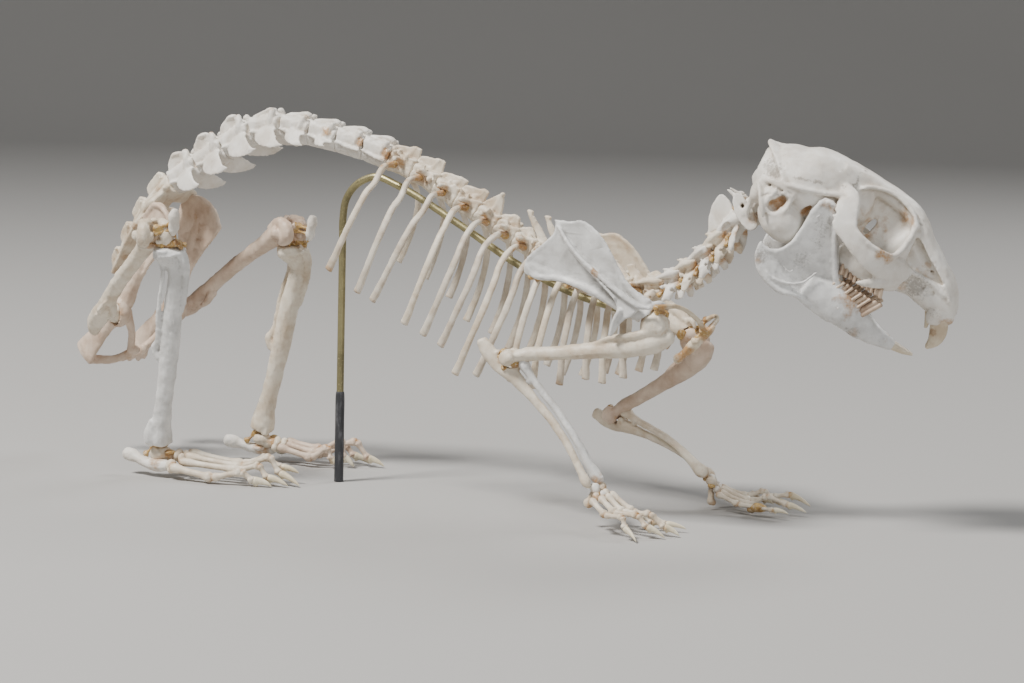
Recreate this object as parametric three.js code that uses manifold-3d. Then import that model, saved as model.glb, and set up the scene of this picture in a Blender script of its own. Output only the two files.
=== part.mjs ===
// The mounted skeleton of a pika, crouching, held by one bent brass wire.
// Millimetres, +Z up, the floor at z = 0. The animal faces +X and its right side faces -Y.
import * as THREE from "three";
import { mergeVertices } from "three/addons/utils/BufferGeometryUtils.js";
import Module from "manifold-3d";

const GAP = 0.3; // clear space between two bones that touch in the real mount
const ROOM = 0.5; // clear space cut round a bone that turned in another
const BONE_THIN = 0.55; // the thinnest plate or process

// Skull, measured along and across its own long axis.
const BRAINCASE_WIDTH = 17;
const ARCH_WIDTH = 20.6;
const SNOUT_WIDTH = 7.4;
const HEAD_PITCH = 31.6; // degrees, nose down
const HEAD_YAW = 18; // degrees, to the animal's left

// Limb joints: [x, y, z] at the middle of each joint.
const HIP = { right: [-77.3, -4.7, 28], left: [-72.9, 9.2, 27.9] };
const KNEE = { right: [-55.7, -23.5, 45.1], left: [-44.4, 3.3, 44.4] };
const PLATEAU = { right: [-53.6, -21.6, 42.2], left: [-45.1, 5.9, 41.3] };
const ANKLE = { right: [-60.6, -13.9, 6], left: [-54.2, 10.3, 6] };
const SHOULDER = { right: [35.1, -10.2, 34.4], left: [33.5, 10.2, 29.6] };
const ELBOW = { right: [9.9, -13, 27.3], left: [14.6, 20.2, 14.2] };
const WRIST = { right: [26, -12.4, 7.4], left: [35.6, 13.4, 6] };
const HIND_PAW_TURN = { right: 4, left: 22 }; // degrees, toes towards the animal's left
const FORE_PAW_TURN = { right: -6, left: 26 };
const CARPUS_TOP = { right: V(0.1, 0, 7.3), left: V(0.6, 0, 5.2) };

const HEAD_RADIUS = 2.05; // ball of the thigh bone
const ARM_HEAD_RADIUS = 2.5;
const HIND_PAW_LENGTH = 26; // ankle to claw tips
const FORE_PAW_LENGTH = 17;
const WIRE = 1.3; // diameter of the brass wire
const WIRE_FOOT = 1.7; // diameter of its dark lower sleeve
const WIRE_FOOT_TOP = 16.5;

// The middle line of the backbone, from the end of the sacrum to the back of the skull.
const BACKBONE = new THREE.CatmullRomCurve3(
  [
    [-83.6, 4.9, 34.6],
    [-77.6, 3, 42.4],
    [-69.4, 0.5, 50],
    [-58.9, 0, 56.8],
    [-47.3, 0, 62.6],
    [-34.2, 0, 61.6],
    [-18.7, 0, 57.5],
    [-5.5, 0, 51],
    [6.2, 0, 44.7],
    [18.2, 0, 40.2],
    [28.5, 0, 38.7],
    [34.8, 0.2, 40.6],
    [41, 1, 46.2],
    [46.9, 2, 52.6],
  ].map((p) => V(...p)),
);
const SACRUM_RUN = 24.6;
const LOIN_RUN = 48.9;
const THORAX_RUN = 54.5;
const LOIN_COUNT = 8;
const RIB_PAIRS = 14;
const NECK_COUNT = 7;

const IVORY = 0xe9e2d3;
const CHALK = 0xf1eee8;
const AMBER = 0xd8c6a4;
const bone = (colour) => new THREE.MeshStandardMaterial({ color: colour, roughness: 0.62, metalness: 0 });
const brass = new THREE.MeshStandardMaterial({ color: 0x7d7247, roughness: 0.38, metalness: 0.85 });
const darkSleeve = new THREE.MeshStandardMaterial({ color: 0x3a3b3f, roughness: 0.5, metalness: 0.2 });

const wasm = await Module();
wasm.setup();
const pika = new THREE.Group();
const { lerp, degToRad } = THREE.MathUtils;

function V(x, y, z) {
  return new THREE.Vector3(x, y, z);
}

// A closed three.js shape as a solid that can be joined and cut.
function solid(geometry) {
  const bare = geometry.clone();
  bare.deleteAttribute("normal");
  bare.deleteAttribute("uv");
  const welded = mergeVertices(bare, 1e-4);
  return new wasm.Manifold(
    new wasm.Mesh({
      numProp: 3,
      vertProperties: new Float32Array(welded.attributes.position.array),
      triVerts: new Uint32Array(welded.index.array),
    }),
  );
}

// The pieces of one bone as one solid: its largest closed surface.
function fuse(pieces, cuts = []) {
  const joined = pieces.map(solid).reduce((whole, piece) => whole.add(piece));
  const cut = cuts.map(solid).reduce((whole, tool) => whole.subtract(tool), joined);
  return cut.decompose().reduce((best, body) => (body.volume() > best.volume() ? body : best));
}

function place(name, body, material, parent = pika) {
  const { numProp, vertProperties, triVerts } = body.getMesh();
  const points = [];
  for (let i = 0; i < vertProperties.length; i += numProp) points.push(...vertProperties.subarray(i, i + 3));
  const geometry = new THREE.BufferGeometry();
  geometry.setAttribute("position", new THREE.Float32BufferAttribute(points, 3));
  geometry.setIndex([...triVerts]);
  geometry.computeVertexNormals();
  const mesh = new THREE.Mesh(geometry, material);
  mesh.name = name;
  parent.add(mesh);
  return mesh;
}

// A tube whose rings stand across a path. Each station is [point, half width, half depth],
// with the width measured along the direction called across. With facing, every ring faces that way.
function sweep(stations, sides, across = V(0, 1, 0), facing = null) {
  const rows = stations.length - 1;
  const tube = new THREE.CylinderGeometry(1, 1, 1, sides, rows);
  const rings = stations.map(([point, wide, deep], i) => {
    const before = stations[Math.max(i - 1, 0)][0];
    const after = stations[Math.min(i + 1, rows)][0];
    const along = facing ?? after.clone().sub(before).normalize();
    const side = across.clone().addScaledVector(along, -across.dot(along)).normalize();
    const up = along.clone().cross(side);
    return { point, side: side.multiplyScalar(wide), up: up.multiplyScalar(deep ?? wide) };
  });
  const at = tube.attributes.position;
  for (let i = 0; i < at.count; i++) {
    const ring = rings[Math.round((0.5 - at.getY(i)) * rows)];
    const p = ring.point.clone().addScaledVector(ring.side, at.getX(i)).addScaledVector(ring.up, at.getZ(i));
    at.setXYZ(i, p.x, p.y, p.z);
  }
  return tube;
}

// Stations on a smooth path through rows of [x, y, z, half width, half depth].
function smooth(rows, steps) {
  const path = new THREE.CatmullRomCurve3(rows.map(([x, y, z]) => V(x, y, z)));
  const size = new THREE.CatmullRomCurve3(rows.map(([, , , wide, deep]) => V(wide, deep ?? wide, 0)));
  return Array.from({ length: steps + 1 }, (_, i) => {
    const girth = size.getPoint(i / steps);
    return [path.getPoint(i / steps), girth.x, girth.y];
  });
}

function ball([x, y, z], [rx, ry, rz], turn = 0, sides = 8, bands = 5) {
  return new THREE.SphereGeometry(1, sides, bands).scale(rx, ry, rz).rotateY(turn).translate(x, y, z);
}

// A plate cut to an outline in the XZ plane, then moved sideways to y = lie(x, z).
function plate(outline, thickness, lie) {
  const shape = new THREE.Shape(outline.map(([x, z]) => new THREE.Vector2(x, z)));
  const slab = new THREE.ExtrudeGeometry(shape, { depth: thickness, bevelEnabled: false });
  slab.rotateX(Math.PI / 2).translate(0, thickness / 2, 0);
  const at = slab.attributes.position;
  for (let i = 0; i < at.count; i++) at.setY(i, at.getY(i) + lie(at.getX(i), at.getZ(i)));
  return slab;
}

const mirror = (rows) => rows.map(([x, y, ...rest]) => [x, -y, ...rest]);
const floorCut = new THREE.BoxGeometry(400, 200, 10).translate(0, 0, -5);

// Backbone: each vertebra is a waisted body with a spinous process and two side processes.
const runLength = BACKBONE.getLength();
BACKBONE.arcLengthDivisions = 600;

function onBackbone(distance) {
  const share = THREE.MathUtils.clamp(distance / runLength, 0, 1);
  const along = BACKBONE.getTangentAt(share);
  const left = V(0, 1, 0).addScaledVector(along, -along.y).normalize();
  return { centre: BACKBONE.getPointAt(share), along, left, up: along.clone().cross(left) };
}

// Lengths that fall evenly from first to last and fill the run.
function shares(count, run, lastToFirst) {
  const weights = Array.from({ length: count }, (_, i) => lerp(1, lastToFirst, i / (count - 1)));
  const total = weights.reduce((a, b) => a + b);
  return weights.map((w) => (w * run) / total);
}

function local(seat, forward, left, up) {
  return seat.centre
    .clone()
    .addScaledVector(seat.along, forward)
    .addScaledVector(seat.left, left)
    .addScaledVector(seat.up, up);
}

const WAISTED = [[0.12, 1.02], [0.5, 0.82], [0.88, 1.02]];
const SHORT = [[0.18, 1.02], [0.6, 0.82]];

function vertebrae(start, lengths, shape, outline = WAISTED) {
  const rings = [];
  const processes = [];
  let from = start;
  lengths.forEach((length, i) => {
    const { wide, tall, spine, wing } = shape(i);
    const ends = [i === 0 ? GAP / 2 / length : 0, i === lengths.length - 1 ? 1 - GAP / 2 / length : 1];
    const waist = [...outline];
    if (i === 0) waist.unshift([ends[0], 1]);
    if (i === lengths.length - 1) waist.push([ends[1], 1]);
    waist.forEach(([share, girth]) => {
      rings.push([onBackbone(from + share * length).centre, wide * girth, tall * girth]);
    });
    const seat = onBackbone(from + length * 0.5);
    const blade = [
      [local(seat, 0, 0, tall * 0.4), 0.75, length * spine.keel * 0.52],
      [local(seat, spine.lean, 0, spine.height), 0.38, length * spine.keel * 0.4],
    ];
    processes.push(sweep(blade, 4, seat.left));
    for (const side of [-1, 1]) {
      if (!wing.out) continue;
      const root = local(seat, 0, side * wide * 0.4, wing.lift);
      const tip = local(seat, wing.forward, side * wing.out, wing.lift - wing.drop);
      const stations = [
        [root, length * 0.26, 0.7],
        [tip, length * wing.broad * 0.7, 0.28],
      ];
      processes.push(sweep(stations, 4, wing.across ? seat.up : seat.along));
    }
    from += length;
  });
  return [sweep(rings, 6), ...processes];
}

// Sacrum, between the two hip bones.
const sacrumLengths = shares(4, SACRUM_RUN, 1.25);
place(
  "sacrum",
  fuse(
    vertebrae(0, sacrumLengths, (i) => ({
      wide: lerp(1.2, 2.4, i / 3),
      tall: lerp(1.2, 2.3, i / 3),
      spine: { height: lerp(2.2, 3.2, i / 3), lean: -0.3, keel: 0.8 },
      wing: { out: i === 3 ? 3.3 : 0, forward: 0.4, drop: 0.5, lift: 0, broad: 0.4 },
    })),
  ),
  bone(IVORY),
);

// Loin: five lumbar vertebrae and the three ribless ones before them.
const loinLengths = shares(LOIN_COUNT, LOIN_RUN, 0.8);
// how far each side process of the loin reaches out, forward and down
const loinWings = [[4.6, 5.2, 5.6], [4.6, 6, 4.6], [4.4, 3.4, 2.8], [3.4, 1.6, 1.2], [3, 1, 0.8], [0], [0], [0]];
place(
  "loin",
  fuse(
    vertebrae(SACRUM_RUN, loinLengths, (i) => ({
      wide: lerp(2.5, 2.1, i / 7),
      tall: lerp(2.8, 2.4, i / 7),
      spine: { height: lerp(4.4, 3.8, i / 7), lean: 0.9, keel: 0.78 },
      wing: {
        out: loinWings[i][0],
        forward: loinWings[i][1],
        drop: loinWings[i][2],
        across: i < 3,
        lift: -0.4,
        broad: i < 3 ? 0.2 : 0.26,
      },
    })),
  ),
  bone(IVORY),
);

// Thorax: fourteen vertebrae with their ribs, split just left of the middle line.
const thoraxStart = SACRUM_RUN + LOIN_RUN;
const thoraxLengths = shares(RIB_PAIRS, THORAX_RUN, 0.5);
const thoraxVertebrae = vertebrae(thoraxStart, thoraxLengths, (i) => ({
  wide: lerp(2.1, 1.9, i / 13),
  tall: lerp(2.3, 1.8, i / 13),
  spine: {
    height: 4.1 + 3.2 * Math.sin(Math.PI * THREE.MathUtils.clamp((i - 3) / 9, 0, 1)),
    lean: lerp(0.2, -3.6, THREE.MathUtils.smoothstep(i, 3, 8)),
    keel: lerp(0.72, 0.6, i / 13),
  },
  wing: { out: 0 },
}), SHORT);

function rib(i, side) {
  const share = i / (RIB_PAIRS - 1);
  const before = thoraxLengths.slice(0, i).reduce((a, b) => a + b, 0);
  const seat = onBackbone(thoraxStart + before + thoraxLengths[i] * lerp(0.3, 0.64, Math.min(1, i / 4)));
  const head = seat.centre;
  const sway = Math.sin(i * 2.3 + side) * 0.5; // no two ribs hang quite alike
  const drop = 17.8 + 4 * Math.sin(Math.PI * Math.min(1, share * 1.15)) - 3.5 * share * share + sway;
  const back = (side < 0 ? 1 : 0.7) * lerp(6.8, 0.4, THREE.MathUtils.smoothstep(share, 0.45, 1)) + sway;
  const bow = lerp(10.5, 6.6, THREE.MathUtils.smoothstep(share, 0.45, 1));
  const rows = [
    [head.x, 0.9, head.z - 0.1, 0.55, 0.7],
    [head.x - 0.5, 3.2, head.z + 0.2, 0.5, 0.6],
    [head.x - 0.16 * back - 0.7, 0.72 * bow, head.z - 0.12 * drop, 0.42, 0.62],
    [head.x - 0.4 * back - 0.8, bow, head.z - 0.4 * drop, 0.38, 0.6],
    [head.x - 0.7 * back - 0.5, bow * 1.04, head.z - 0.7 * drop, 0.36, 0.58],
    [head.x - back, bow * 0.94, head.z - drop, 0.46, 0.8],
  ];
  const stations = smooth(side < 0 ? mirror(rows) : rows, 6);
  return sweep(stations, 4);
}

const ribs = (side) => Array.from({ length: RIB_PAIRS }, (_, i) => rib(i, side));
const SPLIT = 0.7;
const keepRight = new THREE.BoxGeometry(200, 60, 200).translate(0, 30 + SPLIT - GAP / 2, 40);
const keepLeft = new THREE.BoxGeometry(200, 60, 200).translate(0, -30 + SPLIT + GAP / 2, 40);
place("thorax_right", fuse([...thoraxVertebrae, ...ribs(-1)], [keepRight]), bone(IVORY));
place("thorax_left", fuse([...thoraxVertebrae, ...ribs(1)], [keepLeft]), bone(IVORY));

// Neck: seven vertebrae, with the tall blade of the second and the broad wings of the first.
const neckStart = thoraxStart + THORAX_RUN;
const neckRun = runLength - neckStart - 1.6;
const neckLengths = shares(NECK_COUNT, neckRun, 1.25);
place(
  "neck",
  fuse(
    vertebrae(neckStart, neckLengths, (i) => ({
      wide: i === 6 ? 3.2 : 2.5,
      tall: i === 6 ? 2.7 : 2.5,
      spine: { height: i === 5 ? 4.8 : 3.3, lean: i === 5 ? 0.8 : -0.3, keel: i === 5 ? 1 : 0.6 },
      wing: { out: i === 6 ? 5 : 4, forward: i % 6 ? -1.2 : 0.2, drop: 1.4, lift: -0.5, broad: 0.36 },
    }), SHORT),
  ),
  bone(AMBER),
);

// Skull and lower jaw stand in a group of their own: x runs forward along the skull,
// z up from it, and the origin is the joint with the neck.
const head = new THREE.Group();
head.position.set(47.5, 2.1, 53.4);
head.rotation.set(0, degToRad(HEAD_PITCH), degToRad(HEAD_YAW), "ZYX");
pika.add(head);

// Outline of a row of five cheek teeth: a straight root line and a notched chewing edge.
function toothRow(start, width, root, crown, notch) {
  const edge = [];
  for (let tooth = 4; tooth >= 0; tooth--) {
    edge.push([start + (tooth + 0.9) * width, crown], [start + (tooth + 0.1) * width, crown]);
    if (tooth) edge.push([start + tooth * width, crown + notch]);
  }
  return [[start, root], [start + 5 * width, root], ...edge];
}

function skull() {
  const braincase = BRAINCASE_WIDTH / 2;
  const snout = SNOUT_WIDTH / 2;
  // x, middle z, half width, half height
  const outline = [
    [-3.2, 8.6, 0.5 * braincase, 2.2],
    [-2.2, 6.9, 0.86 * braincase, 4.4],
    [1.2, 6.9, 0.98 * braincase, 6],
    [5, 8.1, braincase, 6.8],
    [8.6, 9.2, 0.9 * braincase, 6.4],
    [12, 10.4, 0.62 * braincase, 5.5],
    [15, 10.9, 0.43 * braincase, 5],
    [19, 11, 0.4 * braincase, 4.9],
    [22.5, 9.8, snout, 5.3],
    [25.4, 7.8, 1.05 * snout, 5.2],
    [29, 6.6, 0.86 * snout, 4.5],
    [33, 4.9, 0.76 * snout, 3.5],
    [36, 2.9, 0.62 * snout, 2.7],
    [37.4, 2.3, 0.4 * snout, 1.6],
  ];
  const stations = outline.map(([x, z, wide, tall]) => [V(x, 0, z), wide, tall]);
  const pieces = [sweep(stations, 12, V(0, 1, 0), V(1, 0, 0))];
  const cuts = [ball([0, 0, 2.5], [2, 2.2, 1.8])];
  pieces.push(sweep([[V(-4.2, 0, 10.4), 4.4, 0.6], [V(-2, 0, 10.6), 5, 1.4], [V(2, 0, 12), 2, 0.8]], 8));
  // pterygoid floor between the ear capsules and the palate
  pieces.push(sweep([[V(2, 0, 1.4), 2.6, 1.2], [V(10, 0, 3.2), 1.8, 1.6], [V(17, 0, 2.4), 3, 1.8]], 6));
  for (const side of [-1, 1]) {
    pieces.push(ball([4.2, side * 5.6, 1.5], [4.7, 3.3, 3.7], 0.2, 9, 5));
    cuts.push(ball([1.9, side * 9, 3.8], [1.2, 1.6, 1.2], 0, 6, 4));
    pieces.push(ball([-0.6, side * 2.3, 0.4], [1.4, 1.2, 1.6], 0, 6, 4));
    // cheek arch, from the side of the braincase forward to the root over the cheek teeth
    const arch = [
      [11.6, 5, 10.6, 1.2, 1.1],
      [13.8, 8.6, 9, 0.8, 1],
      [15.4, ARCH_WIDTH / 2 - 0.5, 6, 0.5, 1.3],
      [18.5, ARCH_WIDTH / 2 - 0.4, 4.4, 0.5, 1.9],
      [21.4, ARCH_WIDTH / 2 - 1.4, 4, 0.7, 2.8],
      [24, 5.6, 4.8, 1, 2.4],
      [26, 2.4, 5.4, 1.2, 1.8],
    ].map(([x, y, z, thick, tall]) => [x, side * y, z, thick, tall]);
    pieces.push(sweep(smooth(arch, 7), 5));
    pieces.push(
      sweep([[V(23.6, side * 6.6, 3.6), 0.8, 1], [V(21.8, side * 8.4, 1.6), 0.6, 0.8], [V(20.2, side * 8.7, 0), 0.3, 0.3]], 5),
    );
    // eye socket, hollowed from the side, with the narrow wall between the two left standing
    cuts.push(ball([18.7, side * 5.3, 9.9], [4.7, 3.7, 3.6], 0.25, 8, 6));
    // row of five upper cheek teeth in its bony ridge
    pieces.push(sweep([[V(17, side * 4.1, 3.4), 1.1, 2.4], [V(21, side * 4.3, 3), 1.3, 2.8], [V(25.6, side * 3.4, 3.6), 1, 2]], 6));
    pieces.push(plate(toothRow(17.3, 1.7, 3, -0.6, 0.3), 1.9, () => side * 4.3));
    // upper front tooth, curving down and back
    const incisor = [
      [34.4, side * 0.8, 2.6, 0.72, 1.5],
      [35.9, side * 0.8, 0.4, 0.68, 1.3],
      [36.3, side * 0.8, -1.6, 0.62, 1],
      [35.6, side * 0.8, -3.4, 0.5, 0.35],
    ];
    pieces.push(sweep(smooth(incisor, 4), 5));
    // windowed side of the snout
    const window = plate([[25.2, 6.6], [32.4, 6.9], [24.6, 10.4]], 2, () => side * (snout + 0.3));
    cuts.push(window);
  }
  cuts.push(ball([17.4, 0, 8.2], [0.55, 4, 1.2]));
  cuts.push(ball([37.8, 0, 3.4], [1.6, 1, 1.5]));
  return fuse(pieces, cuts);
}
place("skull", skull(), bone(CHALK), head);

function lowerJaw() {
  const ramus = [
    [8.1, 7.8], [9.2, 8.6], [10.6, 8.2], [11.9, 6.6], [13.6, 3.2], [15.8, -0.2], [18, -2.6],
    [24, -3.6], [24, -7.6], [18.7, -8], [14.6, -7.4], [11.4, -8.2], [8.4, -7.9], [5.8, -6.8],
    [4.2, -5.2], [3.6, -3], [5.6, -3.4], [7.2, -2.4], [8, -0.2], [8.1, 3],
  ];
  const pieces = [];
  for (const side of [-1, 1]) {
    const lie = (x, z) => side * (lerp(8.5, 3.2, THREE.MathUtils.smoothstep(x, 9, 26)) + 0.03 * (z - 8));
    pieces.push(plate(ramus, 1, lie));
    const body = [
      [14, 6.6, -5.2, 0.7, 2],
      [18, 5.6, -5.3, 1.3, 2.5],
      [23, 3.9, -6, 1.5, 2.4],
      [27, 2, -6.4, 1.3, 1.9],
      [31, 0.9, -6.2, 0.9, 0.9],
    ].map(([x, y, z, thick, tall]) => [x, side * y, z, thick, tall]);
    pieces.push(sweep(smooth(body, 5), 6));
    pieces.push(plate(toothRow(17, 1.8, -4.6, -1.4, -0.3), 1.7, (x) => side * lerp(5.6, 4, (x - 17) / 9)));
    const incisor = [
      [29, side * 0.75, -6.4, 0.7, 0.9],
      [32, side * 0.72, -6.3, 0.6, 0.7],
      [34.9, side * 0.7, -5.6, 0.45, 0.3],
    ];
    pieces.push(sweep(smooth(incisor, 3), 5));
  }
  pieces.push(sweep([[V(25.5, 0, -6.6), 1.6, 1.2], [V(28.5, 0, -6.3), 1.3, 1.4], [V(30.6, 0, -6.2), 0.8, 0.8]], 6));
  return fuse(pieces);
}
place("lower_jaw", lowerJaw(), bone(CHALK), head);

// Hip bones: the wing runs up and forward from the socket, the ring runs down and back.
const pelvis = new THREE.Group();
pelvis.position.set(-75.1, 2.25, 28);
pelvis.rotation.z = degToRad(-17);
pika.add(pelvis);
const HALF_PELVIS = 7.3;
const WING_LENGTH = 21.5;
const WING_PITCH = degToRad(51);

function hipBone(side) {
  const up = (share, off = 0) => [
    Math.cos(WING_PITCH) * WING_LENGTH * share - Math.sin(WING_PITCH) * off,
    Math.sin(WING_PITCH) * WING_LENGTH * share + Math.cos(WING_PITCH) * off,
  ];
  const wing = [
    [...up(0), 6.2, 1.5, 2.4],
    [...up(0.35), 5.7, 1, 1.7],
    [...up(0.65, 0.6), 5.2, 0.6, 3],
    [...up(0.92, 0.8), 5.2, 0.42, 4.3],
    [...up(1.04, 0.9), 5.4, 0.35, 2.6],
  ].map(([x, z, y, thick, broad]) => [x, side * y, z, thick, broad]);
  const ischium = [
    [0.5, 6.1, 0.6, 1.3, 2.1],
    [-4.6, 5.9, -3.2, 0.9, 1.7],
    [-8.4, 6.1, -6.6, 0.7, 3],
    [-10.8, 6.4, -9, 0.5, 3.2],
  ].map(([x, y, z, thick, broad]) => [x, side * y, z, thick, broad]);
  const pubis = [
    [1, 5.6, 0, 1.2, 1.2],
    [0.2, 3.6, -4, 0.7, 0.9],
    [-3, 1.3, -8, 0.8, 0.9],
  ].map(([x, y, z, thick, broad]) => [x, side * y, z, thick, broad]);
  const ramus = [
    [-9.2, 5.6, -9.8, 0.6, 1],
    [-6.4, 3, -9.8, 0.6, 0.9],
    [-3.4, 1.2, -8.6, 0.8, 1],
  ].map(([x, y, z, thick, broad]) => [x, side * y, z, thick, broad]);
  const symphysis = new THREE.BoxGeometry(5, 1.1, 2).rotateY(0.3).translate(-4.4, side * (0.55 + GAP / 2), -8.6);
  const socket = ball([0, side * HALF_PELVIS, 0], Array(3).fill(HEAD_RADIUS + ROOM), 0, 8, 6);
  const middle = new THREE.BoxGeometry(60, 20, 60).translate(0, side * (GAP / 2 - 10), 0);
  return fuse(
    [
      sweep(smooth(wing, 6), 6),
      sweep(smooth(ischium, 3), 6),
      sweep(smooth(pubis, 3), 5),
      sweep(smooth(ramus, 3), 5),
      ball([0.3, side * 6.6, 0.2], [3, 1.8, 3]),
      symphysis,
    ],
    [socket, middle],
  );
}
place("hip_bone_right", hipBone(-1), bone(AMBER), pelvis);
place("hip_bone_left", hipBone(1), bone(AMBER), pelvis);

// Hind leg: thigh bone, kneecap and shin bone, each along its own two joints.
function thighBone(hip, knee, outward, shin) {
  const axis = knee.clone().sub(hip).normalize();
  const hinge = axis.clone().cross(shin).normalize();
  if (hinge.dot(outward) < 0) hinge.negate();
  const at = (base, a, o, f) =>
    base.clone().addScaledVector(axis, a).addScaledVector(outward, o).addScaledVector(front, f);
  const front = axis.clone().cross(hinge).normalize();
  if (front.dot(shin) > 0) front.negate();
  const kneeAt = (h, f, a) =>
    knee.clone().addScaledVector(hinge, h).addScaledVector(front, f).addScaledVector(axis, a);
  const shaft = [
    [at(hip, -1.6, 4.4, -0.4), 1.2, 1.3],
    [at(hip, 1.2, 4.2, 0), 2, 1.7],
    [at(hip, 6, 3.7, 0.3), 1.6, 1.5],
    [at(hip, 15, 2.2, 0.7), 1.45, 1.45],
    [kneeAt(0, 0.4, -7), 1.7, 1.6],
    [kneeAt(0, 0.2, -3), 2.6, 2.2],
    [kneeAt(0, 0, 0.6), 3, 2.5],
  ];
  const neck = [[at(hip, 1.6, 3.8, 0), 1.3, 1.3], [at(hip, 0.2, 1.2, 0), 1.2, 1.2], [hip, 1.2, 1.2]];
  const pieces = [sweep(shaft, 7, hinge), sweep(neck, 5, axis)];
  pieces.push(ball(hip.toArray(), [HEAD_RADIUS, HEAD_RADIUS, HEAD_RADIUS]));
  const condyles = [[-3.6, 1.6], [-1.9, 2.2], [0, 1.8], [1.9, 2.2], [3.6, 1.6]];
  pieces.push(sweep(condyles.map(([out, girth]) => [kneeAt(out, -0.4, 0.2), girth, girth]), 8, axis));
  pieces.push(sweep([[at(hip, 7.4, 2.8, -0.9), 1, 1], [at(hip, 5.2, 2.2, -1.9), 0.6, 0.6]], 4, axis));
  return { pieces, hinge };
}

function shinBone(plateau, ankle, heading) {
  const axis = ankle.clone().sub(plateau).normalize();
  const length = plateau.distanceTo(ankle);
  const forward = heading.clone().addScaledVector(axis, -heading.dot(axis)).normalize();
  const hinge = forward.clone().cross(axis);
  const at = (share, f, h = 0) =>
    plateau.clone().addScaledVector(axis, share * length).addScaledVector(forward, f).addScaledVector(hinge, h);
  const shaft = [
    [at(0.008, 0), 3.3, 2.7],
    [at(0.05, 0), 3.5, 3],
    [at(0.12, 0.9), 2.4, 2.6],
    [at(0.26, 1.4), 1.9, 2.4],
    [at(0.5, 1.2), 1.6, 2.1],
    [at(0.76, 0.5), 1.45, 1.6],
    [at(0.93, 0.1), 1.5, 1.4],
    [at(0.985, 0), 2, 1.6],
  ];
  const crest = [[at(0.03, 2.8), 1.1, 1.2], [at(0.12, 3.7), 0.9, 1.1], [at(0.3, 3.2), 0.7, 1.1], [at(0.48, 2), 0.6, 0.9]];
  const spur = [[at(0.5, 0.2), 0.8, 0.8], [at(0.515, -1.8), 0.5, 0.5]];
  return [sweep(shaft, 8, hinge), sweep(crest, 5, hinge), sweep(spur, 4, hinge)];
}

// A paw: wrist or ankle block, then rays of long bone, two finger bones and a claw,
// in a frame whose x runs along the paw and whose origin is on the floor under the joint.
function rayBones({ base, knuckle, tip, thick, bend, sides }) {
  const mid = knuckle.clone().lerp(tip, 0.4).setZ(thick + bend);
  const last = knuckle.clone().lerp(tip, 0.68).setZ(thick * 0.95);
  const bones = [
    [base, thick * 1.05, thick * 1.05],
    [base.clone().lerp(knuckle, 0.5), thick * 0.82, thick * 0.85],
    [knuckle, thick * 1.15, thick * 1.15],
    [mid, thick * 0.9, thick * 0.9],
    [last, thick * 0.85, thick * 0.9],
    [tip, thick * 0.2, thick * 0.22],
  ];
  return sweep(bones, sides);
}

function rays({ count, baseX, baseZ, knuckleX, tipX, spread, fan, ...shape }) {
  return Array.from({ length: count }, (_, i) => {
    const off = i - (count - 1) / 2;
    const even = 1 - (off / count) ** 2 * 1.6;
    const base = V(baseX, off * spread * 0.72, baseZ);
    const knuckle = V(lerp(baseX, knuckleX, even), off * spread, shape.thick * 0.9);
    const tip = V(lerp(baseX, tipX, even), off * (spread + fan), shape.thick * 0.24);
    return rayBones({ base, knuckle, tip, ...shape });
  });
}

function paw(name, joint, turn, pieces, colour) {
  const group = new THREE.Group();
  group.position.set(joint[0], joint[1], 0);
  group.rotation.z = degToRad(turn);
  pika.add(group);
  place(name, fuse(pieces, [floorCut]), bone(colour), group);
}

function hindPaw(side) {
  const reach = HIND_PAW_LENGTH;
  const pieces = rays({
    count: 4, baseX: 4.6, baseZ: 3, knuckleX: 15, tipX: reach, spread: 1.8, fan: 0.8, thick: 0.86, bend: 2.6, sides: 5,
  });
  pieces.push(sweep([[V(-6.6, 0, 3.3), 1, 1.1], [V(-5, 0, 3.2), 1.3, 1.4], [V(-1, 0, 2.6), 1.2, 1.4], [V(3.2, side * 0.6, 2.2), 1.6, 1.3]], 7));
  pieces.push(ball([0.6, 0, 4.05], [2, 1.9, 1.8], 0, 8, 4));
  pieces.push(sweep([[V(1.4, 0, 3.4), 2, 1.4], [V(3.6, 0, 3), 2.5, 1.4], [V(5.4, 0, 2.6), 2.9, 1]], 7));
  return pieces;
}

function forePaw(side, top) {
  const pieces = rays({
    count: 5, baseX: 2.4, baseZ: 3.6, knuckleX: 8.6, tipX: FORE_PAW_LENGTH, spread: 1.6, fan: 1, thick: 0.76, bend: 1.3, sides: 4,
  });
  pieces.push(sweep([[top, 1.6, 1.4], [V(1.4, 0, 4.4), 2.2, 1.4], [V(3.2, 0, 3.4), 2.7, 1.1]], 6));
  pieces.push(sweep([[V(0, -side * 0.6, 4), 0.8, 0.9], [V(-1.6, -side * 1, 1.6), 0.7, 0.7]], 5));
  return pieces;
}

const OUTWARD = { right: V(-0.41, -0.81, -0.41), left: V(0.1, 0.96, 0.1) };
const KNEECAP = { right: V(5, 0.1, 2.2), left: V(5, 0.4, 0.8) };

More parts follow.
